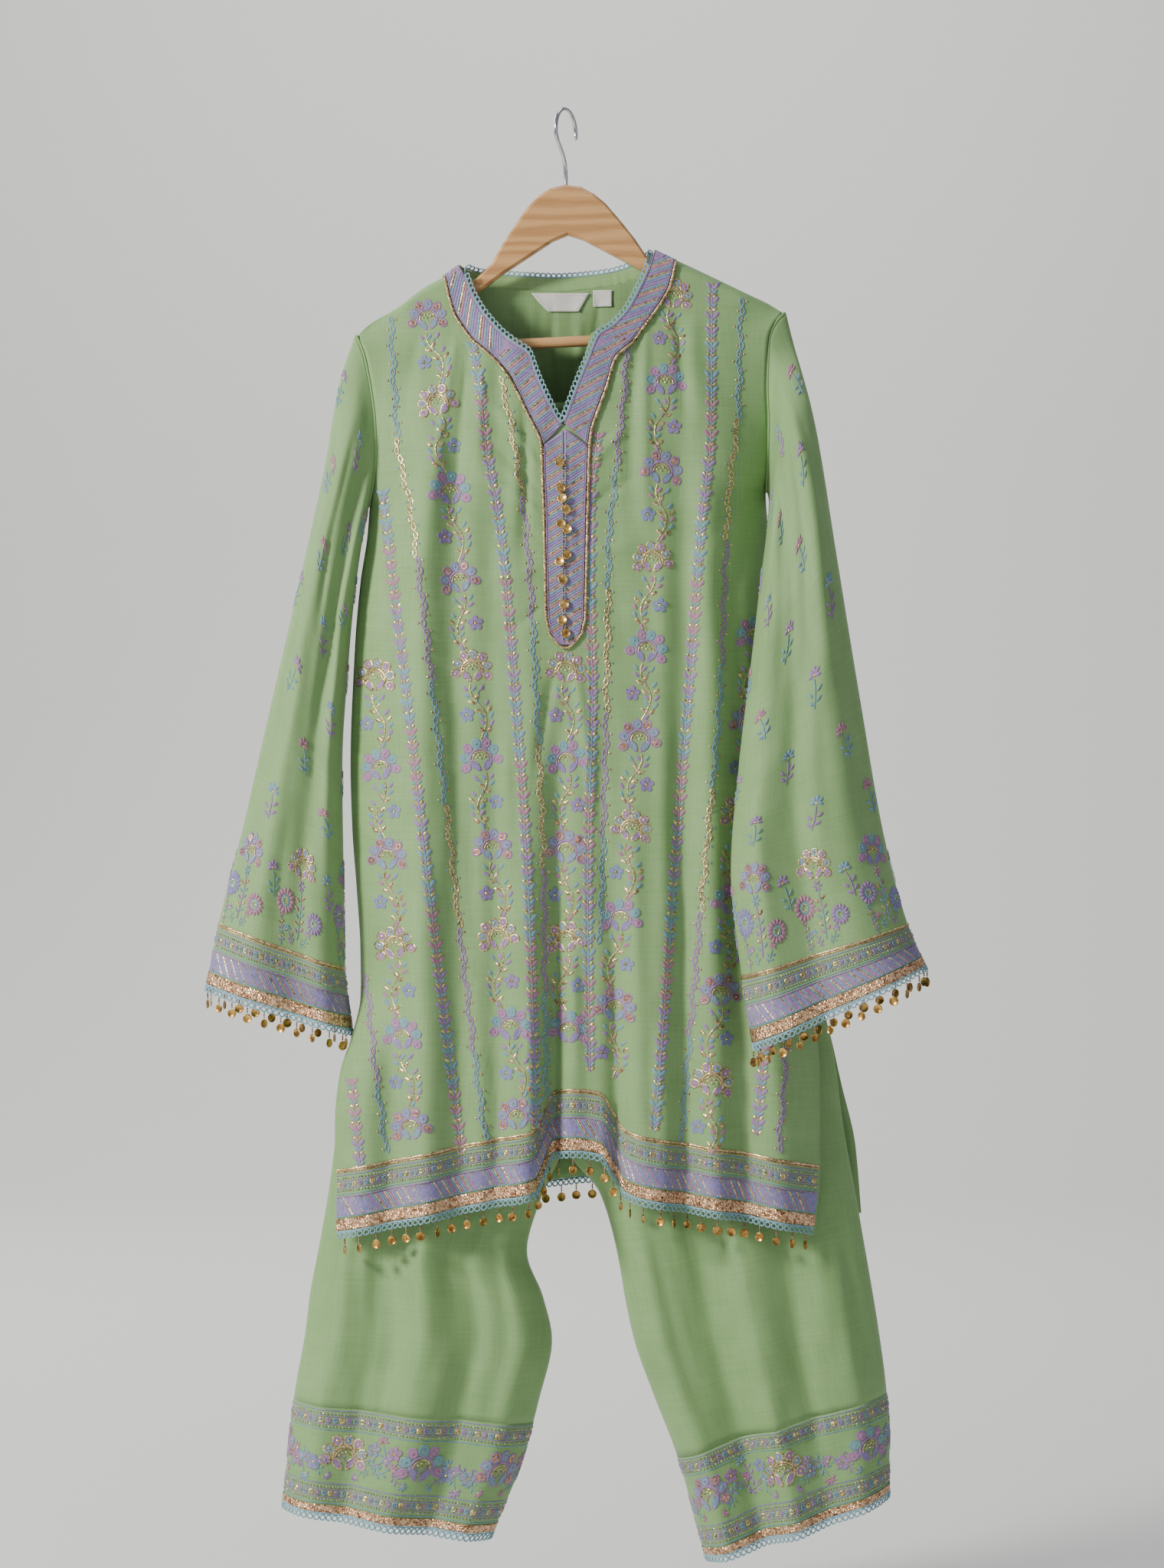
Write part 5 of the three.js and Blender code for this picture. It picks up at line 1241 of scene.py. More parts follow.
def tube(points, radius, sides=6, closed=False):
    """A round cord through points, in the units of the points."""
    bm = bmesh.new()
    points = np.asarray(points, float)
    count = len(points)
    made = bmesh.ops.create_grid(bm, x_segments=sides, y_segments=count - (0 if closed else 1), size=1)["verts"]
    ahead = np.roll(points, -1, 0) - np.roll(points, 1, 0)
    if not closed:
        ahead[0], ahead[-1] = points[1] - points[0], points[-1] - points[-2]
    guide = Vector((0.31, 0.17, 0.94))
    frames = []
    for way in ahead:
        way = Vector(way).normalized()
        side = guide.cross(way).normalized()
        guide = way.cross(side)
        frames.append((side, guide))
    rows = count if closed else count - 1
    for vert in made:
        i = round((vert.co.y + 1) / 2 * rows) % count
        turn = (vert.co.x + 1) * math.pi
        side, over = frames[i]
        vert.co = Vector(points[i]) + radius * (math.cos(turn) * side + math.sin(turn) * over)
    bmesh.ops.remove_doubles(bm, verts=bm.verts, dist=1e-4 * radius)
    if not closed:
        bmesh.ops.holes_fill(bm, edges=bm.edges, sides=0)
    bmesh.ops.recalc_face_normals(bm, faces=bm.faces)
    return mesh_of(bm, "tube")


def turned(profile, sides):
    """A body of revolution about Z, from (radius, height) points."""
    bm = bmesh.new()
    rim, edges = circle(bm, sides)
    for vert in rim:
        vert.co = Vector((vert.co.x * profile[0][0], vert.co.y * profile[0][0], profile[0][1]))
    first = edges
    for (r0, _), (r1, z1) in zip(profile, profile[1:]):
        corners, edges, _ = grow(bm, edges)
        for vert in corners:
            vert.co = Vector((vert.co.x * r1 / r0, vert.co.y * r1 / r0, z1))
    for end in (first, edges):
        bmesh.ops.contextual_create(bm, geom=end)
    bmesh.ops.recalc_face_normals(bm, faces=bm.faces)
    return mesh_of(bm, "turned")


def moved(mesh, matrix, thread=None):
    """A copy in another place, and in another material if thread says so."""
    copy = mesh.copy()
    copy.transform(matrix)
    if thread is not None:
        copy.polygons.foreach_set("material_index", [thread] * len(copy.polygons))
    return copy


def add(bm, mesh):
    """Joins a mesh to the bmesh and throws the mesh away."""
    bm.from_mesh(mesh)
    bpy.data.meshes.remove(mesh)


PICOT = tube([(x, y, 0) for x, y in arc(2.3, 0, 330, 12)], 0.72, 4, closed=True)
BEAD = turned([(0.25, 0.72), (0.72, 0.5), (0.9, 0), (0.72, -0.5), (0.25, -0.72)], 6)
COIN_FACE = turned([(4.35, 0), (4.35, 0.3), (4.05, 0.5), (3.6, 0.5), (3.35, 0.2), (0.5, 0.38)], 16)
COIN_THREAD = tube([(0, 0, 1.2), (0.15, 0, -3), (0, 0, -7.4)], 0.3, 4)
print("faces in a picot, a bead and half a coin:", [len(mesh.polygons) for mesh in (PICOT, BEAD, COIN_FACE)])


def facing(normal):
    return Vector(normal).to_track_quat("Z", "Y").to_matrix().to_4x4()


def coin(bm, place, normal, twist, thread, size):
    """Two struck faces back to back, looking along normal."""
    turn = Matrix.Translation(place) @ facing(normal) @ Matrix.Rotation(twist, 4, "Z")
    for half in (0, math.pi):
        add(bm, moved(COIN_FACE, turn @ Matrix.Rotation(half, 4, "X") @ Matrix.Scale(size, 4), thread))


def in_metres(name, bm, materials, nodes=""):
    """Makes a piece of solids that were placed in millimetres."""
    bmesh.ops.scale(bm, vec=(0.001, 0.001, 0.001), verts=bm.verts)
    piece = hand_over(name, mesh_of(bm, name), materials)
    if nodes:
        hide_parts(*nodes.split())


# %% [markdown]
# The ribbon is a strip cut like the cloth, with its creases as small sharp heights. It
# could get them from a bump alone, but its edge would then stay straight.

# %% Ribbons at the hems and cuffs
CREASE_HEIGHT = 0.42


def crinkled(s, up):
    """A creased height for ribbon, from folded waves of uneven length."""
    steep = np.abs(((s * 0.31 + 0.9 * np.sin(up * 0.9 + s * 0.13)) % 1) - 0.5)
    slow = np.abs(((s * 0.17 - up * 0.23) % 1) - 0.5)
    return CREASE_HEIGHT * (steep + slow - 0.5) * 2


def ribbon(name, run, low, high, out, nodes=""):
    """A strip of ribbon between two heights above the edge."""
    s, up = np.meshgrid(np.linspace(0, run.total, int(run.total / 1.6)), np.linspace(high, low, 8))
    points = run.lay(s, up, out + crinkled(s, up))
    piece = cloth(name, points, [ribbon_metal], np.stack([s, up], -1), thick=0.3)
    if nodes:
        swap(piece, nodes)
    return piece


for name in ("hem_front", "hem_back", "cuff_left", "cuff_right"):
    part, side = name.split("_")
    ribbon(f"{name}_ribbon", RUNS[name], 0.3, 10.8, 1.25, f"{part}_ribbon_{side}")
print("ribbons sewn on:", [round(RUNS[name].total) for name in RUNS if "ankle" not in name], "mm long")

# %% [markdown]
# The lace is bent along the edge while it is flat, and its coins are hung on afterwards,
# so that they stay round. Their turns are drawn from a seeded generator, so that they are
# the same each time.

# %% Laces with coins
bead_copper = finish("dark_copper_beads", CRINKLE, (0.16, 0.06, 0.03), (0.55, 0.26, 0.14), 0.2, 0.85, 0.2, 0.0002,
                     {"Scale": 260.0}, Roughness=0.3, Metallic=0.85)
rng = np.random.default_rng(11)
PICOT_PITCH, COIN_PITCH, COIN_DROP = 5.6, 15.5, 10.6


def lace(name, run, top, out, nodes, drops=True):
    """Tape and picots along a run, with coins below, as one piece."""
    bm = bmesh.new()
    line(bm, run.total, top - 0.8, 1.6, 0, 0.8, 0.15)
    count = int(run.total / PICOT_PITCH)
    for k in range(count):
        add(bm, moved(PICOT, Matrix.Translation((run.total * (k + 0.5) / count, top - 4.2, 0.2))))
    mesh = mesh_of(bm, name)
    bend(mesh, lambda s, up, h: run.lay(s, up, out + h))
    bm = bmesh.new()
    add(bm, mesh)
    number = int(run.total / COIN_PITCH) if drops else 0
    for k in range(number):
        s = (run.total - COIN_PITCH * (number - 1)) / 2 + COIN_PITCH * k
        foot, beside = (Vector(p) for p in run.lay(np.array([s, s + 1]), np.full(2, top - 6.6), out))
        outward = (beside - foot).cross(Vector((0, 0, 1)))
        outward = Matrix.Rotation(rng.uniform(-0.9, 0.9), 3, "Z") @ Vector((outward.x, outward.y, 0)).normalized()
        add(bm, moved(COIN_THREAD, Matrix.Translation(foot), 0))
        for down in (1.6, 3.2, 4.8):
            add(bm, moved(BEAD, Matrix.Translation(foot - Vector((0, 0, down))), 1))
        coin(bm, foot - Vector((0, 0, COIN_DROP)), outward, rng.uniform(0, 6), 2, rng.uniform(0.9, 1.0))
    in_metres(name, bm, [lace_cotton, bead_copper, coin_brass], nodes)


for name in ("hem_front", "hem_back", "cuff_left", "cuff_right"):
    part, side = name.split("_")
    lace(f"{name}_lace", RUNS[name], -0.2, 1.0, f"{part}_lace_{side}")

# %% [markdown]
# The ankle bands carry a garland: flower heads in a row, each between two blossoms and
# some sprigs, with a ring tape above and below. A narrow ribbon and a lace without coins
# finish the edge.

# %% Ankle trims and garlands


def garland(total):
    """Ring tapes above and below a row of flower heads, blossoms and leafy sprigs."""
    bm = bmesh.new()
    for middle in (17, 81):
        tape(bm, total, middle)
    count = round(total / 74)
    pitch = total / count
    line(bm, total, 48, 1.2, L, 0.5, 4.0)
    for k in range(count):
        s = pitch * (k + 0.5)
        sow(bm, HEADS[(2 * k + k % 2) % 6], s, 49, 0.12 * (-1) ** k, 1.05)
        for side in (-1, 1):
            sow(bm, BLOSSOMS[(k + side) % 3], s + side * 25, 51 + 8 * side * (-1) ** k, 0, 0.95)
            sow(bm, SPRIGS[(k + side) % 3], s + side * 31, 46 + 3 * side, -side * 1.2 * (-1) ** k, 0.85)
            sow(bm, SPRIGS[(k + 1) % 3], s + side * 17, 36, side * 2.2, 0.62)
        sow(bm, SPRIGS[k % 3], s + 0.5 * pitch, 60 - 22 * (k % 2), math.pi * (k % 2) + 0.3, 0.85)
    return bm


for name in ("left", "right"):
    run = RUNS[f"ankle_{name}"]
    sew(f"garland_{name}", garland(run.total), lambda s, up, h: run.lay(s, up, WORK_LIFT + h), THREADS)
    ribbon(f"ankle_ribbon_{name}", run, 0.3, 6.8, 1.2)
    lace(f"ankle_lace_{name}", run, 0.0, 1.0, f"ankle_trim_{name}", drops=False)

# %% [markdown]
# ## Sleeves
# Small sprigs are strewn in a half-drop over the sleeves. Above the cuff's border stands
# a garden: tall leafy stalks, marigolds and flower heads, with small leaves between.

# %% Sprigs and cuff gardens


def sleeve_work(run):
    """Rows of sprigs, narrower where the sleeve is, over the plants of the cuff."""
    bm = bmesh.new()
    total = run.total
    for row in range(7):
        up = 178 + 54 * row
        wide = total / run.girth(up)
        for k in range(-1, int(total / 60) + 1):
            s = total / 2 + (60 * k - 90 + 30 * (row % 2)) * wide
            if 8 * wide < s < total - 8 * wide:
                sow(bm, SPRIGS[(row + k) % 3], s, up, 0.3 * math.sin(2.4 * row + 1.7 * k), 1.12, wide)
    count = int(total / 64)
    pitch = total / count
    for k in range(count):
        s = pitch * (k + 0.5)
        sow(bm, HEADS[(2 * k) % 6], s, 128, 0.0, 0.95)
        sow(bm, STALKS[k % 3], s, 66, 0.0, 1.05)
        sow(bm, MARIGOLDS[k % 3], s - 0.24 * pitch, 96, 0.0, 1.0)
        sow(bm, STALKS[(k + 1) % 3], s - 0.25 * pitch, 57, 0.12, 0.62)
        sow(bm, MARIGOLDS[(k + 1) % 3], s + 0.27 * pitch, 84, 0.0, 0.9)
        sow(bm, SPRIGS[(k + 2) % 3], s + 0.5 * pitch, 112, 0.2, 1.1)
        for side in (-1, 1):
            sow(bm, SPRIGS[(k + side) % 3], s + side * 0.13 * pitch, 68, -side * 0.5, 0.62)
    return bm


for name in ("left", "right"):
    run = RUNS[f"cuff_{name}"]
    sew(f"sleeve_{name}_work", sleeve_work(run), lambda s, up, h: run.lay(s, up, WORK_LIFT + h), THREADS)

# %% [markdown]
# The armhole seams are turned edges of the same cloth, rolled over the join between a
# panel and a sleeve. A closed cord along the sleeve's first row covers the join all round.

# %% Armhole seams
for name, way in (("left", 1), ("right", -1)):
    ring = on_sleeve(name, np.linspace(0, 2 * np.pi, 121)[:-1], np.zeros(120))
    ring[:, 0] += way * 1.05
    ring[:, 1] *= 0.97
    bm = bmesh.new()
    add(bm, tube(ring, 1.35, 8, closed=True))
    in_metres(f"armhole_seam_{name}", bm, [salwar_cloth])

# %% [markdown]
# ## Neck and placket
# The neck band is two mitred pieces down the front and a plain standing band behind.
# Its front and the placket are covered with slanting bars of thread, edged with a lilac
# line and a twisted gold cord. Picot lace stands inside the edge, and large coins
# overlap down the slit.

# %% Neck band tables
BAND_LEFT = table(
    "ix iz ox oz", [-97.5, -142.6, -109, -150.6], [-92, -153.5, -106, -166], [-86, -170, -100, -187],
    [-74, -190.5, -86, -208], [-59, -207, -69, -224], [-45, -218.5, -56, -236], [-34, -225, -49, -246],
    [-27.5, -244.5, -41.5, -262], [-18.6, -266.5, -31, -283], [-10, -283, -22.5, -300], [-2.6, -292, -20, -309])
BAND_RIGHT = table(
    "ix iz ox oz", [81, -128.6, 99, -136.6], [76, -146, 93.5, -162], [68, -164, 83.5, -179], [56, -187, 70, -199],
    [43, -201, 59, -214], [31, -207, 45, -226], [26.3, -216, 41, -235], [20, -234, 37, -250], [10, -258, 29, -273],
    [3.4, -277, 22, -292], [-1.6, -291, 19.5, -309])
BAND_BACK = table(
    "sx sy sz tx ty tz", [-109, 1, -148.4, -97.5, 1, -140.4], [-103, 10.5, -151, -93, 10, -142.5],
    [-90, 15, -155.5, -84, 18, -145.5], [-60, 17, -159.5, -58, 22, -147.5], [-5, 17.5, -162, -5, 23, -150.5],
    [45, 17, -156.5, 44, 22, -145.5], [78, 15.5, -145.5, 72, 18, -135.5], [92, 10.5, -139, 80, 10, -129.5],
    [99, 1, -134.4, 81, 1, -126.4])
PLACKET = table("z left right", [-309.4, -20, 19.5], [-345, -18.6, 18.4], [-392, -17.2, 17.3], [-435, -16.4, 16.2],
                [-466, -15.6, 15.4], [-479, -13, 12.6], [-486, -8.5, 8.2], [-490, -3.2, 3])
NECK_OUT = 2.4


def smooth(rows, column, at):
    """Reads a column along a table by row number, rounded at the rows."""
    near = [np.interp(at + step, np.arange(len(rows[column])), rows[column]) for step in (-0.3, 0, 0.3)]
    return (near[0] + 2 * near[1] + near[2]) / 4


def band_place(rows, along, share, out):
    x, z = (mix(smooth(rows, "i" + axis, along), smooth(rows, "o" + axis, along), share) for axis in "xz")
    points = off_body(-1, x, z, out)
    points[..., 1] = np.minimum(points[..., 1], -0.8)
    return points


# %% [markdown]
# The bars lie side by side across a strip and lean with it, each as long as the strip is
# wide there. A bar starts at the middle of the strip and grows both ways until it meets
# the edge, which works on any outline. The cord is two strands wound round each other.

# %% Bars and cords
CORD = 1.7  # radius of the twisted cord


def bar(bm, inside, middle, lean, k, wide):
    """One slanting bar through a place, cut off at the strip's edges."""
    along = Vector((math.cos(math.radians(lean)), math.sin(math.radians(lean))))
    ends = []
    for way in (-1, 1):
        reach = 0.0
        while reach < 60 and inside(*(middle + along * way * (reach + 0.6))):
            reach += 0.6
        ends.append(way * reach)
    if ends[1] - ends[0] > 2:
        spots = [tuple(middle + along * t) for t in np.linspace(*ends, 6)]
        stem(bm, spots, wide, (L, G, B, V, L, B, G, P, B)[k % 9], 0.75)


def bars_along(bm, inside, middle, leans, pitch=2.35, offset=0):
    """Bars across a strip whose middle line is given, with a lean for each of its points."""
    lengths = lengths_along(middle)
    at, k = 1.0, offset
    while at < lengths[-1]:
        spot, ahead = (Vector([float(np.interp(at + step, lengths, middle[:, i])) for i in (0, 1)])
                       for step in (0, 0.5))
        lean = float(np.interp(at, lengths, leans))
        if inside(*spot):
            bar(bm, inside, spot, lean, k, 0.9 * pitch)
        way = ahead - spot
        gap = abs(math.sin(math.atan2(way.y, way.x) - math.radians(lean))) if way.length > 0 else 1
        at, k = at + pitch / max(gap, 0.35), k + 1


def edge_cord(points, name):
    """A twisted gold cord through points in millimetres."""
    lengths = lengths_along(points)
    steps = np.linspace(0, lengths[-1], int(lengths[-1] / 0.9))
    path = np.stack([np.interp(steps, lengths, points[:, i]) for i in range(3)], -1)
    bm = bmesh.new()
    for strand in (0, math.pi):
        turn = steps * 1.9 + strand
        away = np.stack([np.cos(turn), 0.6 * np.sin(turn), np.sin(turn)], -1) * CORD * 0.5
        add(bm, tube(path + away, CORD * 0.62, 5))
    in_metres(name, bm, [gold])


# %% [markdown]
# Each front of the band is a stiff strip of lilac cloth, and its bars are drawn flat inside
# its outline. The lean changes at the bend of the neck, so the strip is filled in two
# parts. Then come the lines along its edges and the cord beside it.

# %% Bands of the neck
for name, rows, offset, leans in (("left", BAND_LEFT, 0, (72, 92, 42, 38)), ("right", BAND_RIGHT, 4, (18, 24, 27, 30))):
    along, share = np.meshgrid(np.linspace(0, 10, 121), np.linspace(0, 1, 9), indexing="ij")
    points = band_place(rows, along, share, NECK_OUT - 0.2)
    flat = np.stack([share * 17, along * 17], -1)
    piece = cloth(f"neck_band_{name}_ground", points, [lilac], flat, thick=0.8, flip=name == "right")
    swap(piece, f"neck_band_{name}")
    bm = bmesh.new()
    ring = np.concatenate([band_place(rows, np.linspace(0, 10, 80), np.full(80, 0.06), 0)[:, [0, 2]],
                           band_place(rows, np.linspace(10, 0, 80), np.full(80, 0.94), 0)[:, [0, 2]]])
    after = np.roll(ring, -1, 0)

    def inside(x, z):
        """Counts the edges to the right of the place."""
        above = (ring[:, 1] > z) != (after[:, 1] > z)
        gap = np.where(after[:, 1] == ring[:, 1], 1, after[:, 1] - ring[:, 1])
        return bool(np.sum(above & (x < ring[:, 0] + (z - ring[:, 1]) * (after[:, 0] - ring[:, 0]) / gap)) % 2)

    turn_at = -222 if name == "left" else -212
    steps = np.linspace(0, 10, 160)
    middle = band_place(rows, steps, np.full(160, 0.5), 0)[:, [0, 2]]
    upper = middle[:, 1] > turn_at
    first, last = (np.interp(steps, [0, 5], leans[:2]), np.interp(steps, [5, 10], leans[2:]))
    bars_along(bm, lambda x, z: z > turn_at and inside(x, z), middle[upper], first[upper], offset=offset)
    bars_along(bm, lambda x, z: z <= turn_at and inside(x, z), middle[~upper], last[~upper], offset=offset)
    for share, thread in ((0.02, L), (0.97, L), (0.9, B)):
        edge = band_place(rows, np.linspace(0.05, 10, 60), np.full(60, share), 0)[:, [0, 2]]
        stem(bm, [tuple(spot) for spot in edge], 1.1, thread, 0.7)
    sew(f"neck_bars_{name}", bm,
        lambda x, z, h: np.minimum(off_body(-1, x, z, NECK_OUT + 0.2 + h), [np.inf, -0.8, np.inf]),
        THREADS)
    edge_cord(band_place(rows, np.linspace(0.1, 10, 90), np.full(90, 1.1), NECK_OUT + 0.2), f"neck_cord_{name}")

# %% [markdown]
# The placket covers the slit with two stiff strips side by side, rounded at the lower end.
# Both get the same bars, leaning one way, with a lilac line outside and a blue one along
# the slit, and one cord runs round the whole.

# %% Placket
SLIT = -1.2  # where the slit is, across
across = np.r_[np.linspace(0, 0.46, 10), np.linspace(0.474, 1, 10)]
for name, half in (("left", across[:10]), ("right", across[10:])):
    down, share = np.meshgrid(np.linspace(0, 7, 141), half, indexing="ij")
    left, right, z = (np.interp(down, np.arange(8), PLACKET[column]) for column in ("left", "right", "z"))
    z = z + 14.5 * (1 - np.abs(2 * share - 1)) * clamp01(1 - down)
    x = mix(left, right, share)
    points = off_body(-1, x, z, NECK_OUT - 0.2)
    piece = cloth(f"placket_{name}_ground", points, [lilac], np.stack([x, z], -1), thick=0.8)
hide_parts("placket")


def on_placket(x, z):
    inner = abs(x - SLIT) > 0.9 and -489 < z
    edge = 0.93 * (read(PLACKET, "z", z, "right") if x > 0 else -read(PLACKET, "z", z, "left"))
    return inner and abs(x) < edge and z < -310.5 + 14.5 * (1 - min(abs(x) / 19, 1))


bm = bmesh.new()
for side in (-1, 1):
    middle = np.array([(SLIT + side * 9, -296.0), (SLIT + side * 7.6, -488)])
    bars_along(bm, lambda x, z: side * (x - SLIT) > 0 and on_placket(x, z), middle, [32, 32], 2.2, 3 + 3 * side)
    border_at = "right" if side > 0 else "left"
    edge = [(0.985 * float(read(PLACKET, "z", z, border_at)), z)
            for z in np.r_[np.linspace(-311, -466, 40), -479, -486, -490]]
    stem(bm, edge, 1.1, L, 0.7)
    stem(bm, [(SLIT + side * 1.3, z) for z in np.linspace(-298, -486, 50)], 1.0, B, 0.6)
sew("placket_bars", bm, lambda x, z, h: off_body(-1, x, z, NECK_OUT + 0.2 + h), THREADS)
rim = [(float(read(PLACKET, "z", z, "left")) - 1.9, z) for z in np.r_[np.linspace(-309, -466, 50), -480, -488]]
rim += [(-3, -492.3), (3, -492.3)]
rim += [(float(read(PLACKET, "z", z, "right")) + 1.9, z) for z in np.r_[-488, -480, np.linspace(-466, -309, 50)]]
rim = np.array(rim)
edge_cord(off_body(-1, rim[:, 0], rim[:, 1], np.full(len(rim), 2.0)), "placket_cord")

# %% [markdown]
# A string of beads runs down the slit with large coins on it. The coins overlap, and each
# is turned its own way, so a short table says where each of them lies.

# %% Coins and beads down the slit
PLACKET_COINS = table(
    "x z turn", [-5, -326, 0.5], [-4, -349, 0.2], [-3, -358, -0.6], [0, -368, 0.4], [-4, -381, 0.1], [1, -386, -0.3],
    [1, -409, 0.2], [-5, -415, -0.5], [-2, -431, 0.5], [-1, -454, 0.1], [-3, -468, -0.4], [0, -480, 0.2])
amber = finish("amber_gold", CRINKLE, (0.36, 0.17, 0.04), (0.92, 0.62, 0.22), 0.2, 0.85, 0.3, 0.0003, {"Scale": 300.0},
               Roughness=0.3, Metallic=0.85)
bm = bmesh.new()
small_bead = moved(BEAD, Matrix.Scale(1.05, 4))
for k, z in enumerate(np.arange(-319, -483, -2.3)):
    spot = off_body(-1, np.array([-1 + 0.8 * math.sin(1.7 * k)]), np.array([z]), np.array([NECK_OUT + 1.9]))[0]
    add(bm, moved(small_bead, Matrix.Translation(spot) @ Matrix.Rotation(k, 4, "X"), 0))
for k in range(len(PLACKET_COINS["x"])):
    x, z, turn = (float(PLACKET_COINS[column][k]) for column in ("x", "z", "turn"))
    spot = off_body(-1, np.array([x]), np.array([z]), np.array([NECK_OUT + 3.1 + 0.25 * (k % 2)]))[0]
    coin(bm, Vector(spot), (0.45 * turn, -1, 0.22), 1.3 * k, 1, 1.02)
in_metres("placket_coin_string", bm, [gold, amber], "placket_coins")

# %% [markdown]
# Picots are small loops of thread that stand inside the neck's edge. They follow one line
# down the left front, up the right front and along the back, so that their distance
# stays even.

# %% Picot lace round the neck
inner = []
for rows, order in ((BAND_LEFT, 1), (BAND_RIGHT, -1)):
    line_in = band_place(rows, np.linspace(0.9, 9.75, 60), np.zeros(60), NECK_OUT)
    line_out = band_place(rows, np.linspace(0.9, 9.75, 60), np.ones(60), NECK_OUT)
    way = (line_in - line_out) / np.linalg.norm(line_in - line_out, axis=1)[:, None]
    inner.append((line_in[::order], way[::order]))
steps = np.linspace(7.1, 0.9, 70)
back_in = np.stack([smooth(BAND_BACK, column, steps) for column in ("tx", "ty", "tz")], -1)
back_seam = np.stack([smooth(BAND_BACK, column, steps) for column in ("sx", "sy", "sz")], -1)
back_way = (back_in - back_seam) / np.linalg.norm(back_in - back_seam, axis=1)[:, None]
base = np.concatenate([inner[0][0], inner[1][0], back_in])
ways = np.concatenate([inner[0][1], inner[1][1], back_way])
lengths = lengths_along(base)
bm = bmesh.new()
add(bm, tube(base + ways * 0.9, 0.75, 6, closed=True))
for s in np.arange(2.5, lengths[-1], 4.9):
    spot, away, beside = (np.array([np.interp(s + step, lengths, field[:, i]) for i in range(3)])
                          for field, step in ((base, 0), (ways, 0), (base, 1.0)))
    away = Vector(away).normalized()
    across = (Vector(beside) - Vector(spot)).normalized()
    over = across.cross(away).normalized()
    turn = Matrix((across, away, over)).transposed().to_4x4()
    add(bm, moved(PICOT, Matrix.Translation(Vector(spot) + away * 3.1) @ turn @ Matrix.Scale(0.95, 4)))
in_metres("neck_picots", bm, [lace_cotton], "neck_lace")

# %% [markdown]
# Behind the neck the band is one plain strip that stands up from the back panel, a little
# puckered at its seam. Below it are the labels, of bare satin, with small stitches along
# their edges.

# %% Back band and labels
along, share = np.meshgrid(np.linspace(0, 8, 161), np.linspace(-0.16, 1, 8), indexing="ij")
points = np.stack([mix(smooth(BAND_BACK, "s" + axis, along), smooth(BAND_BACK, "t" + axis, along), share)
                   for axis in "xyz"], -1)
points[..., 1] += 0.25 * np.sin(along * 23 + 2 * np.sin(along * 5)) * (1 - share)
swap(cloth("neck_band_back_cloth", points, [kurta_cloth], np.stack([share * 12, along * 27], -1), thick=0.8),
     "neck_band_back")
for name, rows in (("main", ([-164.4, -32, 21.5], [-172, -26, 17], [-181, -16.5, 11.5])),
                   ("size", ([-161.8, 24.8, 42], [-170, 24.8, 42], [-176.5, 24.8, 42]))):
    rows = table("z left right", *rows)
    down, share = np.meshgrid(np.linspace(0, 2, 25), np.linspace(0, 1, 41), indexing="ij")
    z, left, right = (np.interp(down, np.arange(3), rows[column]) for column in ("z", "left", "right"))
    x = mix(left, right, share)
    bulge = 0.25 * np.sin(3 * share + 2.2 * down)
    piece = cloth(f"{name}_label_satin", off_body(1, x, z, -1.9 - bulge), [label_satin], np.stack([x, z], -1),
                  thick=0.4)
    swap(piece, f"{name}_label")
    bm = bmesh.new()
    corners = [(mix(left[0, 0], right[0, 0], 0.06), z[0, 0] - 1.4), (mix(left[0, 0], right[0, 0], 0.94), z[0, 0] - 1.4),
               (mix(left[-1, 0], right[-1, 0], 0.92), z[-1, 0] + 1.4),
               (mix(left[-1, 0], right[-1, 0], 0.08), z[-1, 0] + 1.4)]
    for a, b in zip(corners, corners[1:] + corners[:1]):
        count = int(math.dist(a, b) / 2.2)
        for k in range(count):
            ends = [tuple(mix(np.array(a), np.array(b), (k + e) / count)) for e in (0.15, 0.8)]
            stem(bm, ends, 0.45, 0, 0.25)
    sew(f"{name}_label_stitches", bm, lambda x, z, h: off_body(1, x, z, -2.45 - h), [label_satin])

# %% [markdown]
# ## Waistband and hanger
# The salwar hangs by two loops from the trouser bar, and its waistband is gathered on
# elastic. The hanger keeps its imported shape, and gets its wood and wire here.

# %% Waistband and loops
WAIST, WAIST_DEPTH, WAIST_TOP, WAIST_HEIGHT = 150, 14, -268, 31.6
turn, down = np.meshgrid(np.linspace(0, 2 * np.pi, 289), np.linspace(0, 1, 6))
ripple = 0.55 * np.sin(turn * 43 + 1.4 * np.sin(turn * 5)) * np.sin(np.pi * (0.1 + 0.8 * down))
side = np.sin(turn)
points = np.stack([WAIST * np.cos(turn), (WAIST_DEPTH + ripple) * np.sign(side) * np.abs(side) ** SQUARE,
                   WAIST_TOP - WAIST_HEIGHT * down], -1)
flat = np.stack([turn * 95, down * WAIST_HEIGHT], -1)
piece = cloth("waistband_cloth", points, [salwar_cloth], flat, flip=True, weld=True)
swap(piece, "waistband")
TILT, PIVOT, RAIL = math.radians(2.8), -75, -211  # the hanger's tilt, its middle and the trouser bar's height
LOOP_AT, LOOP_WIDTH = 105, 9
foot = WAIST_DEPTH * math.sin(math.acos(LOOP_AT / WAIST)) ** SQUARE
for name, side in (("left", -1), ("right", 1)):
    middle = (PIVOT + (side * LOOP_AT + (RAIL - PIVOT) * math.sin(TILT)) * math.tan(TILT)
              + (RAIL - PIVOT) * math.cos(TILT))
    arch = [(-6.1 * math.cos(a), middle + 6.1 * math.sin(a)) for a in np.linspace(0, math.pi, 15)]
    path = [(-foot, -274), (-foot, -266), (-foot + 3, -258)] + arch + [(foot - 3, -258), (foot, -266), (foot, -274)]
    points = np.array([[(side * LOOP_AT + LOOP_WIDTH * s, y, z + LOOP_WIDTH * s * math.tan(TILT))
                        for s in (-0.5, -0.25, 0, 0.25, 0.5)] for y, z in path])
    piece = cloth(f"hanging_loop_{name}", points, [salwar_cloth], flat_of(points), thick=0.8, flip=True)
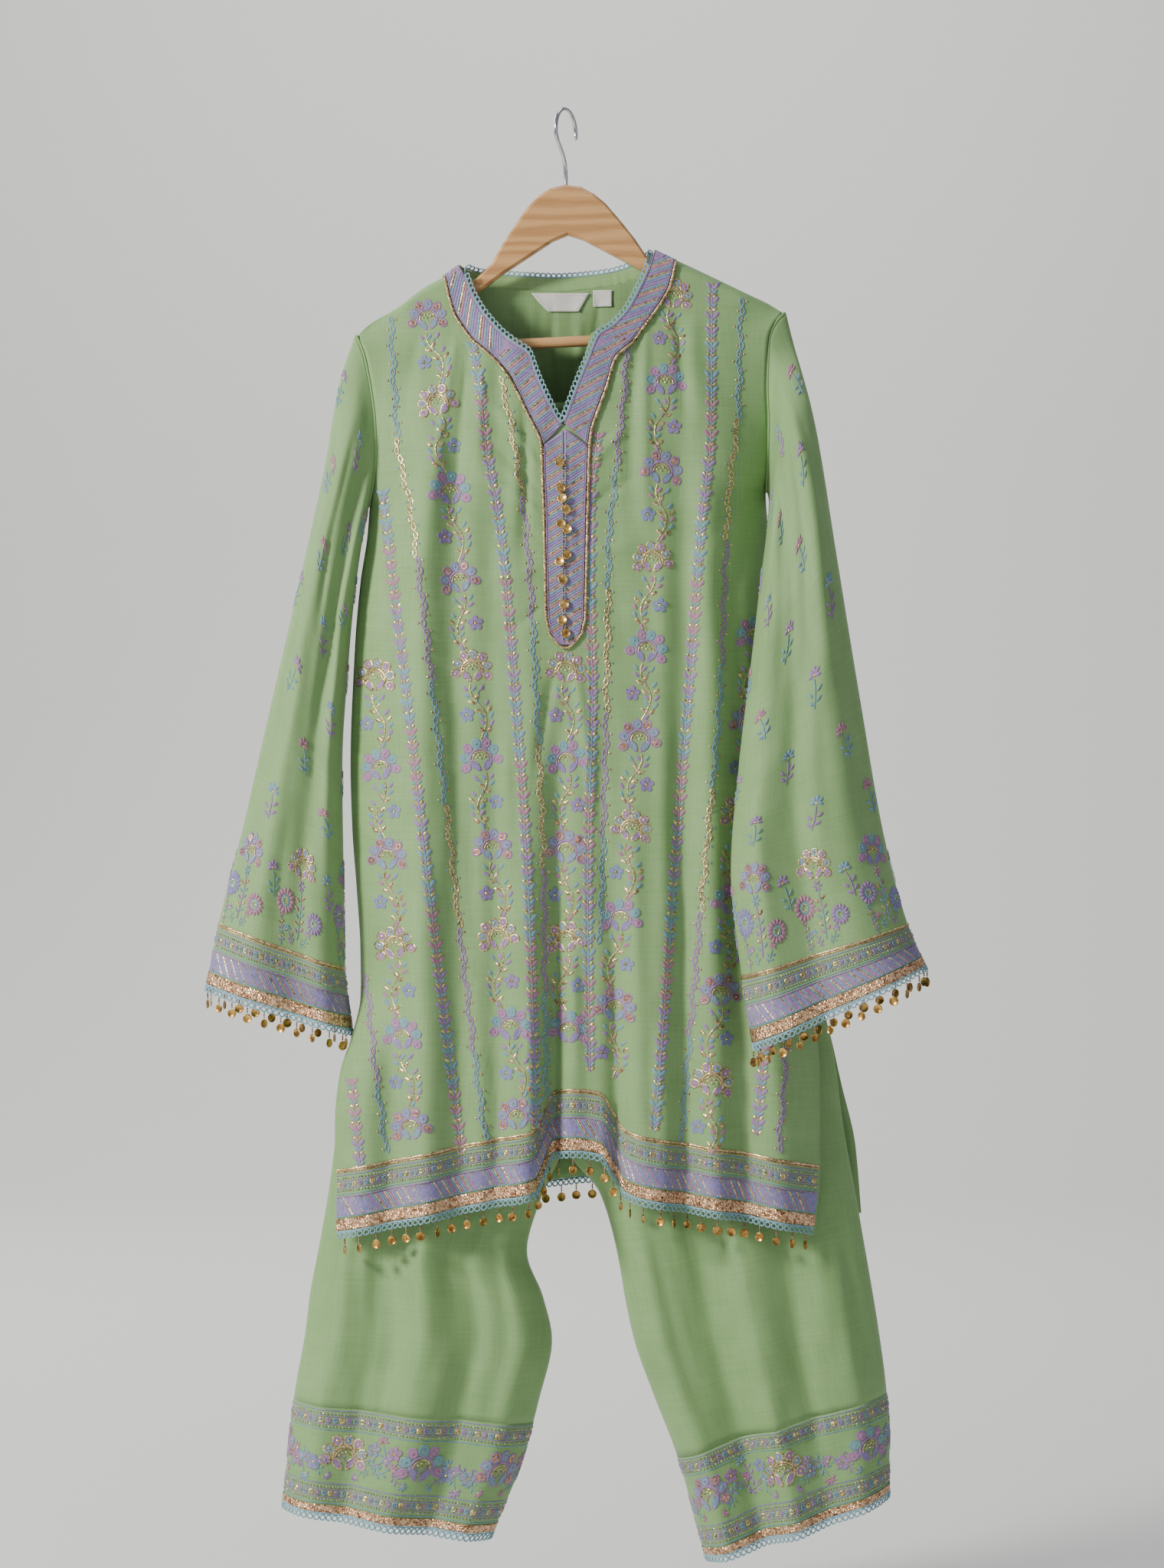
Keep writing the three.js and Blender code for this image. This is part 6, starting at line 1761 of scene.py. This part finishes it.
print("loop feet stand", round(foot, 1), "mm off the middle")

# %% [markdown]
# The hook is one bent wire: most of a circle, then an easy curve down into the wood. Its
# path is smoothed twice so that the bends have no corners, and its tip gets a round cap.
# The two wooden solids only get their finish.

# %% Hook and wood
WIRE, HOOK, HOOK_TURN = 1.75, 20, math.radians(27)  # wire radius, bend radius, and how far it is turned
wire = [(HOOK * math.sin(a), WIRE - HOOK + HOOK * math.cos(a)) for a in np.linspace(-1.75, 2.35, 40)]
wire += [(4, -41), (1.2, -47), (0, -54), (0, -62), (0, -72), (0, -86)]
path = np.array([(-y * math.sin(HOOK_TURN), -y * math.cos(HOOK_TURN), z) for y, z in wire])
for _ in range(2):
    path[1:-1] = (path[:-2] + 2 * path[1:-1] + path[2:]) / 4
bm = bmesh.new()
add(bm, tube(path, WIRE, 16))
cap = turned([(WIRE, 0), (1.5, 0.9), (0.8, 1.5), (0.2, 1.7)], 16)
cap.transform(Matrix.Translation(path[0]) @ facing(path[0] - path[1]))
add(bm, cap)
in_metres("hook_wire_bend", bm, [bright_wire], "hook")
for node in ("hanger_arms", "trouser_bar"):
    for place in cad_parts[node].material_slots:
        place.material = hanger_wood

# %% [markdown]
# ## The cut
# Each sheet is listed with the flat size that it was cut to and what it hangs from.

# %% List every sheet
CUTS = [("kurta_front_cloth", 0.44, 0.9, 0.36, "hanger_arms"), ("kurta_back_cloth", 0.47, 0.9, 0.37, "hanger_arms")]
for name in ("left", "right"):
    CUTS += [(f"sleeve_{name}_cloth", 0.41, 0.58, 0.142, "kurta_front_cloth"),
             (f"salwar_{name}_cloth", 0.58, 0.9, 0.37, "waistband_cloth"),
             (f"ankle_band_{name}_cloth", 0.48, 0.105, 0.048, f"salwar_{name}_cloth"),
             (f"neck_band_{name}_ground", 0.017, 0.22, None, "kurta_front_cloth"),
             (f"placket_{name}_ground", 0.018, 0.185, 0.0033, "kurta_front_cloth"),
             (f"hanging_loop_{name}", 0.01, 0.135, None, "trouser_bar"),
             (f"cuff_{name}_ribbon", RUNS[f"cuff_{name}"].total / 1000, 0.011, None, f"sleeve_{name}_cloth")]
for name in ("front", "back"):
    CUTS.append((f"hem_{name}_ribbon", RUNS[f"hem_{name}"].total / 1000, 0.011, None, f"kurta_{name}_cloth"))
CUTS += [("neck_band_back_cloth", 0.215, 0.0155, None, "kurta_back_cloth"),
         ("waistband_cloth", 0.6, 0.032, None, "hanging_loop_left"),
         ("main_label_satin", 0.05, 0.017, 0.0007, "kurta_back_cloth"),
         ("size_label_satin", 0.0172, 0.0147, None, "kurta_back_cloth")]
for name, width, length, area, holder in CUTS:
    for side in ("left", "right"):
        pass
print("sheets declared:", len(CUTS))
